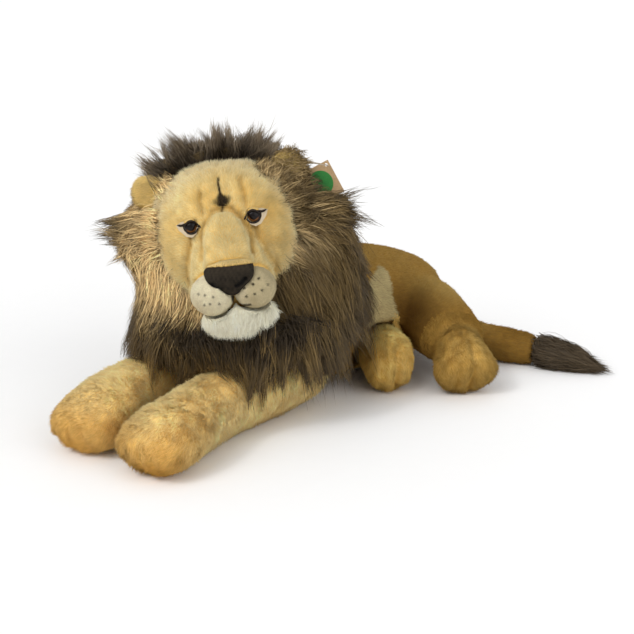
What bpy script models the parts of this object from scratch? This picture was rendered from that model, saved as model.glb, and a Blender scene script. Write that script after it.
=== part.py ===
"""A lying plush lion, modelled as the separate stuffed, sewn and moulded pieces that it is made of.

Metres. +X is the lion's left, +Y runs towards its tail, +Z is up. The origin is on the floor, under the
middle of the torso, at the flat patch that the belly rests on.
"""

import math

import bmesh
import bpy
from mathutils import Matrix, Vector
from mathutils.bvhtree import BVHTree

# Driving sizes
TORSO_LENGTH = 0.42
TORSO_WIDTH = 0.225
TORSO_HEIGHT = 0.225
FORELEG_LENGTH = 0.450
FORELEG_THICKNESS = 0.107
FORELEG_SPACING = 0.158
HAUNCH_LENGTH = 0.205
HAUNCH_WIDTH = 0.150
HAUNCH_HEIGHT = 0.132
RIGHT_HAUNCH_LENGTH = 0.200
RIGHT_HAUNCH_THICKNESS = 0.130
HIND_FOOT_LENGTH = 0.106
HIND_FOOT_THICKNESS = 0.098
RIGHT_FOOT_LENGTH = 0.150
TAIL_LENGTH = 0.178
TAIL_THICKNESS = 0.062
TUFT_LENGTH = 0.118
HEAD_WIDTH = 0.234
HEAD_HEIGHT = 0.250
HEAD_DEPTH = 0.205
MUZZLE_REACH = 0.062
MUZZLE_WIDTH = 0.142
BRIDGE_WIDTH = 0.078
PAD_WIDTH = 0.066
CHIN_WIDTH = 0.126
NOSE_WIDTH = 0.076
NOSE_HEIGHT = 0.046
NOSE_DEPTH = 0.036
NOSTRIL_RADIUS = 0.0052
EYE_RADIUS = 0.0105
EYE_SHANK_RADIUS = 0.003
EYE_SHANK_LENGTH = 0.016
WASHER_RADIUS = 0.0085
WASHER_THICKNESS = 0.0016
EYE_SPACING = 0.098
EYE_RISE = 0.0285
EYE_SINK = 0.0015
FELT_THICKNESS = 0.0012
EAR_RADIUS = 0.030
EAR_THICKNESS = 0.020
MANE_RADIUS = 0.202
MANE_HEIGHT = 0.340
BIB_HEIGHT = 0.078
CREST_HEIGHT = 0.052
CREST_THICKNESS = 0.050
PANEL_THICKNESS = 0.003
TAG_SIDE = 0.056
TAG_THICKNESS = 0.0008
TAG_HOLE_RADIUS = 0.0025
LOOP_RADIUS = 0.016
LOOP_WIRE_RADIUS = 0.0007

# Fits
SEAM_GAP = 0.0003
SWING_GAP = 0.0006
FLAT_CUT = 0.0005
OVERRUN = 1.0

# How far each sewn seam lets its piece be pushed, in degrees
NECK_TURN = 10
FORELEG_SPREAD = 10
HIND_FOOT_SWING = 8
TAIL_SWING_OUT = 20
TAIL_SWING_IN = 4
SWING_STEPS = 4

# Pose of the head, in degrees: turned to the lion's left, chin raised, leaning to its right
HEAD_TURN = 41
HEAD_LIFT = 10
HEAD_LEAN = 10
# Lean of the mane's front edge at the sides of the face, and of the bib below the chin, in degrees
RIM_SLOPE = 20
BIB_SLOPE = 48

SIDES = (("left", 1), ("right", -1))

COLOURS = {
    "plush_tan": ((0.62, 0.43, 0.20), 0.95),
    "plush_cream": ((0.80, 0.76, 0.62), 0.95),
    "pile_dark": ((0.075, 0.055, 0.038), 0.90),
    "pile_brown": ((0.26, 0.19, 0.11), 0.90),
    "nose_suede": ((0.035, 0.028, 0.026), 0.85),
    "eye_gloss": ((0.012, 0.008, 0.006), 0.08),
    "washer_plastic": ((0.85, 0.85, 0.82), 0.45),
    "felt_white": ((0.78, 0.73, 0.64), 0.95),
    "tag_card": ((0.45, 0.31, 0.17), 0.85),
    "loop_nylon": ((0.80, 0.80, 0.78), 0.35),
}

# How high a foreleg's top stands, as a share of its thickness
FORELEG_TOP_SHARE = 1.07
# Torso: share of length along Y, of width to the side, of height to the middle, then half-width, half-height
TORSO_SHARES = (
    (-0.43, 0.00, 0.60, 0.26, 0.24),
    (-0.36, 0.00, 0.58, 0.42, 0.40),
    (-0.20, -0.01, 0.51, 0.50, 0.51),
    (-0.02, 0.00, 0.50, 0.495, 0.502),
    (0.18, 0.04, 0.485, 0.475, 0.485),
    (0.36, 0.11, 0.44, 0.445, 0.435),
    (0.50, 0.18, 0.38, 0.385, 0.377),
    (0.585, 0.26, 0.34, 0.26, 0.26),
)
# Mane, from its top down to its flat underside: share of height up, then of radius out
MANE_SHARES = (
    (1.00, 0.00),
    (0.965, 0.26),
    (0.90, 0.45),
    (0.79, 0.64),
    (0.64, 0.82),
    (0.47, 0.95),
    (0.30, 0.985),
    (0.15, 0.93),
    (0.05, 0.83),
    (0.00, 0.73),
    (0.00, 0.00),
)
# Foreleg: share of length from the elbow, of thickness towards the lion's left for the left leg and for the
# right leg, of thickness up, then half-width, half-height
FORELEG_SHARES = (
    (0.00, -0.17, 0.00, 0.50, 0.24, 0.26),
    (0.05, -0.17, 0.00, 0.52, 0.42, 0.44),
    (0.16, -0.17, 0.00, 0.53, 0.48, 0.53),
    (0.40, -0.17, 0.00, 0.53, 0.47, 0.53),
    (0.60, -0.14, 0.02, 0.50, 0.46, 0.51),
    (0.71, -0.02, 0.06, 0.48, 0.49, 0.485),
    (0.83, 0.09, 0.20, 0.475, 0.60, 0.480),
    (0.94, 0.16, 0.34, 0.42, 0.59, 0.42),
    (1.00, 0.18, 0.39, 0.29, 0.42, 0.26),
)
# Left haunch: shares of its length, height and width, from the hip out to the hock, then half-sizes
HAUNCH_SHARES = (
    (0.00, 0.86, -0.10, 0.27, 0.26),
    (0.14, 0.81, -0.09, 0.43, 0.42),
    (0.40, 0.74, -0.06, 0.50, 0.48),
    (0.68, 0.62, -0.03, 0.43, 0.42),
    (0.90, 0.53, 0.01, 0.36, 0.35),
    (1.00, 0.48, 0.03, 0.22, 0.24),
)
# Right haunch, which the body lies on: shares of its length back and of thickness up, then half-sizes
RIGHT_HAUNCH_SHARES = (
    (0.00, 0.50, 0.20, 0.22),
    (0.14, 0.54, 0.38, 0.42),
    (0.42, 0.60, 0.50, 0.60),
    (0.72, 0.58, 0.46, 0.56),
    (0.92, 0.50, 0.32, 0.38),
    (1.00, 0.46, 0.18, 0.20),
)
# Hind foot: share of length from the hock, of thickness up, then half-width, half-height
HIND_FOOT_SHARES = (
    (0.00, 0.86, 0.26, 0.26),
    (0.12, 0.80, 0.40, 0.42),
    (0.38, 0.62, 0.44, 0.56),
    (0.66, 0.49, 0.55, 0.495),
    (0.90, 0.44, 0.57, 0.445),
    (1.00, 0.36, 0.38, 0.30),
)
RIGHT_FOOT_SHARES = (
    (0.00, 0.50, 0.24, 0.24),
    (0.12, 0.52, 0.40, 0.42),
    (0.40, 0.54, 0.44, 0.50),
    (0.66, 0.56, 0.46, 0.57),
    (0.88, 0.50, 0.42, 0.50),
    (1.00, 0.42, 0.26, 0.32),
)
# Tail, from its round root: share of length along, of thickness back (its curve) and up, then half-thickness
TAIL_SHARES = (
    (-0.185, 0.00, 0.60, 0.20),
    (-0.135, 0.00, 0.62, 0.38),
    (0.00, -0.02, 0.62, 0.50),
    (0.20, -0.10, 0.60, 0.52),
    (0.53, -0.10, 0.55, 0.50),
    (0.86, 0.04, 0.49, 0.47),
    (0.965, 0.08, 0.48, 0.42),
)
TUFT_SHARES = (
    (-0.10, 0.06, 0.49, 0.36),
    (0.02, 0.07, 0.46, 0.43),
    (0.35, 0.12, 0.43, 0.43),
    (0.65, 0.18, 0.32, 0.30),
    (0.90, 0.24, 0.19, 0.15),
    (1.00, 0.27, 0.12, 0.05),
)
# Head, from jaw to crown: share of height up, of depth back, then half-width and half-depth shares
HEAD_SHARES = (
    (-0.43, -0.06, 0.20, 0.20),
    (-0.37, -0.05, 0.36, 0.34),
    (-0.20, -0.02, 0.475, 0.46),
    (0.02, 0.00, 0.50, 0.50),
    (0.21, 0.02, 0.475, 0.485),
    (0.38, 0.03, 0.355, 0.38),
    (0.46, 0.03, 0.20, 0.22),
)
# Bridge of the nose, from brow to nose: share of head height up, of reach forward, half-width, half-height
BRIDGE_SHARES = (
    (0.18, -0.20, 0.20, 0.12),
    (0.13, 0.06, 0.38, 0.22),
    (0.04, 0.42, 0.49, 0.32),
    (-0.08, 0.78, 0.51, 0.36),
    (-0.17, 0.97, 0.46, 0.32),
    (-0.21, 1.05, 0.30, 0.20),
)
# Nose, from its top edge to its tip: share of height down, of depth forward, half-width and half-depth
NOSE_SHARES = (
    (0.00, -0.10, 0.42, 0.30),
    (0.09, -0.02, 0.51, 0.46),
    (0.36, 0.06, 0.48, 0.50),
    (0.64, 0.03, 0.29, 0.44),
    (0.92, -0.08, 0.15, 0.30),
    (1.00, -0.14, 0.09, 0.20),
)
# White felt at each eye, in shares of the eye's radius: outwards, upwards
FELT_SHARES = (
    (-1.15, -0.30),
    (-0.75, -1.15),
    (0.00, -1.60),
    (0.80, -1.40),
    (1.75, -0.40),
    (2.10, 0.40),
    (1.35, 0.75),
    (0.60, 0.90),
    (0.00, 0.00),
)
# Cream gusset on the belly's left side: shares of the torso's length and height
GUSSET_SHARES = (
    (-0.17, 0.50),
    (0.02, 0.48),
    (0.145, 0.48),
    (0.132, 0.57),
    (0.130, 0.66),
    (0.152, 0.74),
    (0.165, 0.80),
    (0.148, 0.84),
    (0.088, 0.80),
    (-0.018, 0.71),
    (-0.120, 0.56),
)


def collection(name):
    found = bpy.data.collections.new(name)
    bpy.context.scene.collection.children.link(found)
    return found


for old in list(bpy.data.objects):
    bpy.data.objects.remove(old)
PARTS = collection("plush_lion")
CUTTERS = collection("cutters")
# each piece's form before anything was cut from it, which its smaller neighbours are cut by
WHOLE_FORMS = {}


def material(name):
    found = bpy.data.materials.get(name)
    if found is None:
        colour, roughness = COLOURS[name]
        found = bpy.data.materials.new(name)
        found.use_nodes = True
        shader = found.node_tree.nodes["Principled BSDF"]
        shader.inputs["Base Color"].default_value = (*colour, 1)
        shader.inputs["Roughness"].default_value = roughness
        shader.inputs["Metallic"].default_value = 0
    return found


def mesh_object(name, bm, finish=None):
    """Turns a bmesh into an object in the parts, or in the cutters when it has no finish."""
    bmesh.ops.recalc_face_normals(bm, faces=bm.faces)
    if bm.calc_volume(signed=True) < 0:
        bmesh.ops.reverse_faces(bm, faces=bm.faces)
    mesh = bpy.data.meshes.new(name)
    bm.to_mesh(mesh)
    bm.free()
    obj = bpy.data.objects.new(name, mesh)
    if finish is None:
        CUTTERS.objects.link(obj)
        obj.hide_render = True
        obj.display_type = "WIRE"
    else:
        PARTS.objects.link(obj)
        mesh.materials.append(material(finish))
    mesh.shade_smooth()
    return obj


def settle(obj):
    """Applies the object's modifiers, so that later pieces can be cut against it."""
    graph = bpy.context.evaluated_depsgraph_get()
    mesh = bpy.data.meshes.new_from_object(obj.evaluated_get(graph), depsgraph=graph)
    obj.modifiers.clear()
    obj.data = mesh
    return obj


def boolean(obj, other, operation="DIFFERENCE"):
    modifier = obj.modifiers.new(operation.lower(), "BOOLEAN")
    modifier.object = other
    modifier.operation = operation
    modifier.solver = "EXACT"
    return settle(obj)


def keep_whole(obj):
    """Remembers a piece's form before any cut, in triangles, so that its cutters have the same facets."""
    bm = bmesh.new()
    bm.from_mesh(obj.data)
    bmesh.ops.triangulate(bm, faces=bm.faces)
    bm.to_mesh(obj.data)
    bm.free()
    WHOLE_FORMS[obj.name] = obj.data.copy()
    return obj


def grown(obj, by):
    """A cutter: the piece's whole form, swollen along its normals."""
    bm = bmesh.new()
    bm.from_mesh(WHOLE_FORMS[obj.name])
    bm.normal_update()
    for vert in bm.verts:
        vert.co += vert.normal * by
    return mesh_object(obj.name + "_room", bm)


def swing_room(mover, pivot, low, high):
    """A cutter: the mover's whole form, swollen by as much as its swing about the vertical carries it."""
    steps = [i / SWING_STEPS for i in range(SWING_STEPS + 1)]
    turns = [Matrix.Rotation(math.radians(low + (high - low) * step), 4, "Z") for step in steps]
    bulge = 1 - math.cos(math.radians(max(abs(low), abs(high))))
    bm = bmesh.new()
    bm.from_mesh(WHOLE_FORMS[mover.name])
    bm.normal_update()
    moved = []
    for vert in bm.verts:
        arm = vert.co - pivot
        carried = max(0, *(vert.normal.dot(turn @ arm - arm) for turn in turns))
        level = 1 - vert.normal.z ** 2
        room = SWING_GAP + carried + level * (SWING_GAP + bulge * arm.length)
        moved.append(vert.co + vert.normal * room)
    for vert, place in zip(bm.verts, moved):
        vert.co = place
    return mesh_object(mover.name + "_swing_room", bm)


def clear_of(obj, *others, gap=SEAM_GAP):
    """Cuts the object back from its larger neighbours, a seam's gap off them."""
    for other in others:
        boolean(obj, grown(other, gap))
    return obj


def drop_offcuts(obj):
    """Keeps only the largest body that the cuts have left."""
    bm = bmesh.new()
    bm.from_mesh(obj.data)
    left = set(bm.verts)
    bodies = []
    while left:
        edge_of_body = [left.pop()]
        body = list(edge_of_body)
        while edge_of_body:
            reached = [e.other_vert(v) for v in edge_of_body for e in v.link_edges]
            edge_of_body = [v for v in set(reached) if v in left]
            left.difference_update(edge_of_body)
            body.extend(edge_of_body)
        bodies.append(body)
    bodies.sort(key=len)
    for body in bodies[:-1]:
        bmesh.ops.delete(bm, geom=body, context="VERTS")
    bm.to_mesh(obj.data)
    bm.free()
    return obj


def box(centre, size, frame=None):
    bm = bmesh.new()
    bmesh.ops.create_cube(bm, size=1)
    bm.transform(Matrix.Translation(centre) @ Matrix.Diagonal((*size, 1)))
    if frame is not None:
        bm.transform(frame)
    return mesh_object("block", bm)


def half_space(frame):
    """A block that fills the frame's -Z side, up to its origin."""
    reach = OVERRUN * 2
    return box(Vector((0, 0, -reach / 2)), (reach, reach, reach), frame)


def stand(obj):
    """Sets the form down on the floor and cuts it flat there, as its own weight does."""
    lowest = min(vert.co.z for vert in obj.data.vertices)
    obj.data.transform(Matrix.Translation((0, 0, -lowest - FLAT_CUT)))
    keep_whole(obj)
    return boolean(obj, half_space(Matrix.Identity(4)))


def loft(name, stations, finish, ring=8, levels=1, frame=None, up=(0, 0, 1)):
    """A stuffed form: rings of the given half-sizes about a line of points, closed and subdivided."""
    hint = Vector(up)
    centres = [Vector(station[0]) for station in stations]
    # a subdivided ring lies inside its cage by this much
    swell = 3 / (2 + math.cos(math.tau / ring))
    bm = bmesh.new()
    rings = []
    for i, (_, half_side, half_up) in enumerate(stations):
        along = (centres[min(i + 1, len(centres) - 1)] - centres[max(i - 1, 0)]).normalized()
        side = along.cross(hint).normalized()
        rise = side.cross(along)
        turns = [math.tau * k / ring for k in range(ring)]
        spokes = [side * half_side * math.cos(t) + rise * half_up * math.sin(t) for t in turns]
        rings.append([bm.verts.new(centres[i] + swell * spoke) for spoke in spokes])
    for first, second in zip(rings, rings[1:]):
        for k in range(ring):
            following = (k + 1) % ring
            bm.faces.new((first[k], first[following], second[following], second[k]))
    bm.faces.new(rings[0])
    bm.faces.new(rings[-1])
    if frame is not None:
        bm.transform(frame)
    obj = mesh_object(name, bm, finish)
    subdivision = obj.modifiers.new("swell", "SUBSURF")
    subdivision.levels = subdivision.render_levels = levels
    return keep_whole(settle(obj))


def ellipsoid(name, centre, half_sizes, finish=None, frame=None, around=16, up=10):
    bm = bmesh.new()
    bmesh.ops.create_uvsphere(bm, u_segments=around, v_segments=up, radius=1)
    bm.transform(Matrix.Translation(centre) @ Matrix.Diagonal((*half_sizes, 1)))
    if frame is not None:
        bm.transform(frame)
    return keep_whole(mesh_object(name, bm, finish))


def turned(name, profile, frame, finish=None, steps=16):
    """A profile of (radius, height) points, top to bottom on its outer side, screwed round the frame's Z."""
    mesh = bpy.data.meshes.new(name)
    points = [(radius, 0, height) for radius, height in profile]
    mesh.from_pydata(points, [(i, i + 1) for i in range(len(points) - 1)], [])
    obj = bpy.data.objects.new(name, mesh)
    if finish is None:
        CUTTERS.objects.link(obj)
        obj.hide_render = True
        obj.display_type = "WIRE"
    else:
        PARTS.objects.link(obj)
        mesh.materials.append(material(finish))
    obj.matrix_world = frame
    screw = obj.modifiers.new("turn", "SCREW")
    screw.steps = screw.render_steps = steps
    screw.use_merge_vertices = True
    screw.merge_threshold = SEAM_GAP / 30
    bpy.context.view_layer.update()
    settle(obj)
    bm = bmesh.new()
    bm.from_mesh(obj.data)
    bmesh.ops.remove_doubles(bm, verts=bm.verts, dist=SEAM_GAP / 30)
    bm.transform(obj.matrix_world)
    bm.to_mesh(obj.data)
    bm.free()
    obj.matrix_world = Matrix.Identity(4)
    obj.data.shade_smooth()
    return keep_whole(obj)


def prism(outline, frame, depth):
    """A cutter: a flat outline in the frame's XY plane, extruded both ways along its Z."""
    curve = bpy.data.curves.new("outline", "CURVE")
    curve.dimensions = "2D"
    curve.fill_mode = "BOTH"
    curve.extrude = depth / 2
    spline = curve.splines.new("POLY")
    spline.points.add(len(outline) - 1)
    for point, (x, y) in zip(spline.points, outline):
        point.co = (x, y, 0, 1)
    spline.use_cyclic_u = True
    holder = bpy.data.objects.new("outline", curve)
    CUTTERS.objects.link(holder)
    bpy.context.view_layer.update()
    graph = bpy.context.evaluated_depsgraph_get()
    bm = bmesh.new()
    bm.from_mesh(bpy.data.meshes.new_from_object(holder.evaluated_get(graph)))
    bpy.data.objects.remove(holder)
    bmesh.ops.remove_doubles(bm, verts=bm.verts, dist=SEAM_GAP / 30)
    bm.transform(frame)
    return mesh_object("prism", bm)


def surface_tree(obj):
    return BVHTree.FromPolygons(
        [obj.matrix_world @ v.co for v in obj.data.vertices], [tuple(p.vertices) for p in obj.data.polygons]
    )


def make_way(targets, mover, pivot, low, high):
    """Cuts the targets clear of the mover at every angle that its joint reaches."""
    room = swing_room(mover, pivot, low, high)
    for target in targets:
        boolean(target, room)


def make_close_way(targets, mover, pivot, low, high):
    """Cuts the targets clear of a mover with a round root, by copies of it at steps of its swing."""
    for i in range(SWING_STEPS):
        turn = Matrix.Rotation(math.radians(low + (high - low) * i / (SWING_STEPS - 1)), 4, "Z")
        room = grown(mover, SWING_GAP)
        room.data.transform(Matrix.Translation(pivot) @ turn @ Matrix.Translation(-pivot))
        for target in targets:
            boolean(target, room)


def pivot_empty(name, point):
    """The empty that a moving body's pieces hang from, on its joint's axis."""
    empty = bpy.data.objects.new(name, None)
    empty.location = point
    PARTS.objects.link(empty)
    bpy.context.view_layer.update()
    return empty


def hang(empty, *pieces):
    """Gives the pieces their origin at the empty, and parents them to it."""
    for piece in pieces:
        piece.data.transform(Matrix.Translation(-empty.location))
        piece.parent = empty


# Torso and mane's outer form

NECK = Vector((-0.02 * TORSO_WIDTH, -0.47 * TORSO_LENGTH, 0))
MANE_FLOOR = FORELEG_THICKNESS * FORELEG_TOP_SHARE + SEAM_GAP
HEAD_RISE = 0.515 * MANE_HEIGHT


def make_torso():
    stations = [
        (
            (side * TORSO_WIDTH, along * TORSO_LENGTH, up * TORSO_HEIGHT),
            half_side * TORSO_WIDTH,
            half_up * TORSO_HEIGHT,
        )
        for along, side, up, half_side, half_up in TORSO_SHARES
    ]
    return stand(loft("torso", stations, "plush_tan", ring=12))


def mane_form(steps=24):
    """The outer form of the whole mane, turned about the neck's axis, so that turning it needs no room."""
    profile = [(out * MANE_RADIUS, MANE_FLOOR + up * MANE_HEIGHT) for up, out in MANE_SHARES]
    return turned("mane_form", profile, Matrix.Translation(NECK), steps=steps)


# Legs and tail

FORELEG_BACK = -0.20 * TORSO_LENGTH
CHEST = Vector((0.03 * TORSO_WIDTH, 0, 0))


def foreleg_middle(side, row):
    """Where a foreleg's middle line lies across the lion, at one row of its table."""
    aside = row[1] if side > 0 else row[2]
    return CHEST.x + side * FORELEG_SPACING / 2 + aside * FORELEG_THICKNESS


def foreleg_pivot(side):
    return Vector((foreleg_middle(side, FORELEG_SHARES[0]), FORELEG_BACK - 0.10 * FORELEG_LENGTH, 0))


def make_foreleg(name, side):
    stations = []
    for row in FORELEG_SHARES:
        along, _, _, up, half_side, half_up = row
        ahead = FORELEG_BACK - along * FORELEG_LENGTH
        place = Vector((foreleg_middle(side, row), ahead, up * FORELEG_THICKNESS))
        stations.append((place, half_side * FORELEG_THICKNESS, half_up * FORELEG_THICKNESS))
    return stand(loft(name, stations, "plush_tan"))


HIP = Vector((0.17 * TORSO_WIDTH, 0.44 * TORSO_LENGTH, 0))
HAUNCH_AIM = math.radians(-22)
HOCK = HIP + Vector((math.cos(HAUNCH_AIM), math.sin(HAUNCH_AIM), 0)) * HAUNCH_LENGTH * 0.81
FOOT_AIM = math.radians(-40)


def make_haunch():
    out = Vector((math.cos(HAUNCH_AIM), math.sin(HAUNCH_AIM), 0))
    back = Vector((-out.y, out.x, 0))
    rise = Vector((0, 0, HAUNCH_HEIGHT))
    stations = [
        (
            HIP + out * along * HAUNCH_LENGTH + back * aside * HAUNCH_WIDTH + rise * up,
            half_side * HAUNCH_WIDTH,
            half_up * HAUNCH_HEIGHT,
        )
        for along, up, aside, half_side, half_up in HAUNCH_SHARES
    ]
    return loft("haunch_left", stations, "plush_tan")


RIGHT_HIP = Vector((-0.24 * TORSO_WIDTH, 0.16 * TORSO_LENGTH, 0))


def make_right_haunch():
    stations = [
        (
            RIGHT_HIP + Vector((0, along * RIGHT_HAUNCH_LENGTH, up * RIGHT_HAUNCH_THICKNESS)),
            half_side * RIGHT_HAUNCH_THICKNESS,
            half_up * RIGHT_HAUNCH_THICKNESS,
        )
        for along, up, half_side, half_up in RIGHT_HAUNCH_SHARES
    ]
    return stand(loft("haunch_right", stations, "plush_tan"))


RIGHT_HOCK = Vector((0.29 * TORSO_WIDTH, 0.18 * TORSO_LENGTH, 0))
RIGHT_FOOT_AIM = math.radians(-42)


def make_foot(name, start, aim, length, shares):
    out = Vector((math.cos(aim), math.sin(aim), 0))
    stations = [
        (
            start + out * along * length + Vector((0, 0, up * HIND_FOOT_THICKNESS)),
            half_side * HIND_FOOT_THICKNESS,
            half_up * HIND_FOOT_THICKNESS,
        )
        for along, up, half_side, half_up in shares
    ]
    return stand(loft(name, stations, "plush_tan"))


TAIL_ROOT = Vector((0.435 * TORSO_WIDTH, 0.560 * TORSO_LENGTH, 0))
TAIL_AIM = math.radians(10)
TAIL_OUT = Vector((math.cos(TAIL_AIM), math.sin(TAIL_AIM), 0))
TAIL_BACK = Vector((-TAIL_OUT.y, TAIL_OUT.x, 0))


def make_tail():
    stations = [
        (
            TAIL_ROOT
            + TAIL_OUT * along * TAIL_LENGTH
            + (TAIL_BACK * aside + Vector((0, 0, up))) * TAIL_THICKNESS,
            half * TAIL_THICKNESS,
            half * TAIL_THICKNESS,
        )
        for along, aside, up, half in TAIL_SHARES
    ]
    return stand(loft("tail", stations, "plush_tan"))


def make_tuft():
    start = TAIL_ROOT + TAIL_OUT * (TAIL_SHARES[-1][0] * TAIL_LENGTH)
    stations = [
        (
            start
            + TAIL_OUT * along * TUFT_LENGTH
            + (TAIL_BACK * aside + Vector((0, 0, up))) * TAIL_THICKNESS,
            half * TAIL_THICKNESS,
            half * TAIL_THICKNESS,
        )
        for along, aside, up, half in TUFT_SHARES
    ]
    return stand(loft("tail_tuft", stations, "pile_dark"))


# Head, in its own frame: +X its left, -Y the way it faces, +Z its crown

HEAD_FRAME = (
    Matrix.Translation(NECK + Vector((0, -0.11 * HEAD_DEPTH, MANE_FLOOR + HEAD_RISE)))
    @ Matrix.Rotation(math.radians(HEAD_TURN), 4, "Z")
    @ Matrix.Rotation(math.radians(-HEAD_LIFT), 4, "X")
    @ Matrix.Rotation(math.radians(-HEAD_LEAN), 4, "Y")
)


def make_head():
    stations = [
        (
            (0, back * HEAD_DEPTH, up * HEAD_HEIGHT),
            half_side * HEAD_WIDTH,
            half_back * HEAD_DEPTH,
        )
        for up, back, half_side, half_back in HEAD_SHARES
    ]
    return loft("head", stations, "plush_tan", ring=12, frame=HEAD_FRAME, up=(0, 1, 0))


FACE = -0.5 * HEAD_DEPTH
SNOUT_DROP = -0.19 * HEAD_HEIGHT


def make_snout():
    centre = Vector((0, FACE + 0.35 * MUZZLE_REACH, SNOUT_DROP))
    half = (MUZZLE_WIDTH / 2, MUZZLE_REACH * 1.05, 0.25 * HEAD_HEIGHT)
    return ellipsoid("snout", centre, half, "plush_tan", HEAD_FRAME)


def make_bridge():
    stations = [
        (
            (0, FACE - forward * MUZZLE_REACH * 0.72, up * HEAD_HEIGHT),
            half_side * BRIDGE_WIDTH,
            half_up * BRIDGE_WIDTH,
        )
        for up, forward, half_side, half_up in BRIDGE_SHARES
    ]
    return loft("nose_bridge", stations, "plush_tan", frame=HEAD_FRAME, up=(0, 1, 0))


def make_nose():
    top = Vector((0, FACE - MUZZLE_REACH * 0.92, -0.120 * HEAD_HEIGHT))
    stations = [
        (
            top + Vector((0, -forward * NOSE_DEPTH, -down * NOSE_HEIGHT)),
            half_side * NOSE_WIDTH,
            half_forward * NOSE_DEPTH,
        )
        for down, forward, half_side, half_forward in NOSE_SHARES
    ]
    nose = loft("nose", stations, "nose_suede", ring=10, frame=HEAD_FRAME, up=(0, 1, 0))
    for side in (-1, 1):
        place = top + Vector((side * 0.32 * NOSE_WIDTH, -0.42 * NOSE_DEPTH, -0.60 * NOSE_HEIGHT))
        slant = Matrix.Translation(place) @ Matrix.Rotation(side * math.radians(38), 4, "Y")
        half = (NOSTRIL_RADIUS * 1.9, NOSTRIL_RADIUS * 1.6, NOSTRIL_RADIUS)
        boolean(nose, ellipsoid("nostril", Vector(), half, None, HEAD_FRAME @ slant, 10, 6))
    return nose


def make_pad(name, side):
    centre = Vector((side * 0.48 * PAD_WIDTH, FACE - 0.50 * MUZZLE_REACH, -0.295 * HEAD_HEIGHT))
    half = (PAD_WIDTH * 0.50, MUZZLE_REACH * 0.66, 0.128 * HEAD_HEIGHT)
    pad = ellipsoid(name, centre, half, "plush_cream", HEAD_FRAME)
    half_gap = Matrix.Translation((side * SEAM_GAP / 2, 0, 0))
    middle = HEAD_FRAME @ half_gap @ Matrix.Rotation(side * math.pi / 2, 4, "Y")
    return boolean(pad, half_space(middle))


def make_chin():
    centre = Vector((0, FACE - 0.14 * MUZZLE_REACH, -0.455 * HEAD_HEIGHT))
    half = (CHIN_WIDTH / 2, MUZZLE_REACH * 0.80, 0.125 * HEAD_HEIGHT)
    return ellipsoid("chin", centre, half, "plush_cream", HEAD_FRAME)


def eye_frame(head_tree, side):
    """Where an eye sits: its Z points out of the face, square to the skin."""
    start = HEAD_FRAME @ Vector((side * EYE_SPACING / 2, -HEAD_DEPTH, EYE_RISE))
    way = (HEAD_FRAME.to_3x3() @ Vector((0, 1, 0))).normalized()
    place, normal, _, _ = head_tree.ray_cast(start, way)
    forward = (-way).normalized()
    aim = (normal.normalized() + 2 * forward).normalized()
    turn = aim.to_track_quat("Z", "Y").to_matrix().to_4x4()
    return Matrix.Translation(place - aim * EYE_SINK) @ turn


def eye_profile():
    """Dome, flat back and shank of a safety eye, from the dome's top to the shank's end."""
    turns = [math.radians(a) for a in (0, 18, 36, 54, 72, 90)]
    dome = [(math.sin(t) * EYE_RADIUS, math.cos(t) * EYE_RADIUS * 0.62) for t in turns]
    lower = [
        (EYE_RADIUS, -EYE_RADIUS * 0.12),
        (EYE_SHANK_RADIUS, -EYE_RADIUS * 0.12),
        (EYE_SHANK_RADIUS, -EYE_SHANK_LENGTH),
        (0, -EYE_SHANK_LENGTH),
    ]
    return [(0, dome[0][1]), *dome[1:], *lower]


WASHER_DEPTH = EYE_SHANK_LENGTH * 0.60


def washer_profile():
    """Flat ring with a short hub, pushed on the shank from inside the head."""
    bore = EYE_SHANK_RADIUS + SEAM_GAP
    hub = EYE_SHANK_RADIUS * 1.7
    return [
        (bore, -WASHER_DEPTH),
        (WASHER_RADIUS, -WASHER_DEPTH),
        (WASHER_RADIUS, -WASHER_DEPTH - WASHER_THICKNESS),
        (hub, -WASHER_DEPTH - WASHER_THICKNESS),
        (hub, -WASHER_DEPTH - WASHER_THICKNESS * 2.2),
        (bore, -WASHER_DEPTH - WASHER_THICKNESS * 2.2),
        (bore, -WASHER_DEPTH),
    ]


def eye_room_profile():
    """The eye's seat in the head: socket, shank hole and the washer's pocket, one open hollow."""
    hole = EYE_SHANK_RADIUS + SEAM_GAP
    rim = EYE_RADIUS + SEAM_GAP
    floor = -EYE_RADIUS * 0.12 - SEAM_GAP
    pocket_top = -WASHER_DEPTH + SEAM_GAP
    pocket_end = -WASHER_DEPTH - WASHER_THICKNESS * 2.2 - SEAM_GAP
    pocket = WASHER_RADIUS + SEAM_GAP
    end = -EYE_SHANK_LENGTH - SEAM_GAP
    return [
        (0, EYE_RADIUS),
        (rim, EYE_RADIUS),
        (rim, floor),
        (hole, floor),
        (hole, pocket_top),
        (pocket, pocket_top),
        (pocket, pocket_end),
        (hole, pocket_end),
        (hole, end),
        (0, end),
    ]


def skin_layer(name, base, outline, frame, depth, thickness, finish):
    """A thin panel that follows the base form's skin, a seam's gap off it, inside an outline."""
    layer = grown(base, SEAM_GAP + thickness)
    layer.name = name
    boolean(layer, grown(base, SEAM_GAP))
    boolean(layer, prism(outline, frame, depth), "INTERSECT")
    CUTTERS.objects.unlink(layer)
    PARTS.objects.link(layer)
    layer.hide_render = False
    layer.display_type = "TEXTURED"
    layer.data.materials.clear()
    layer.data.materials.append(material(finish))
    return keep_whole(layer)


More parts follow.
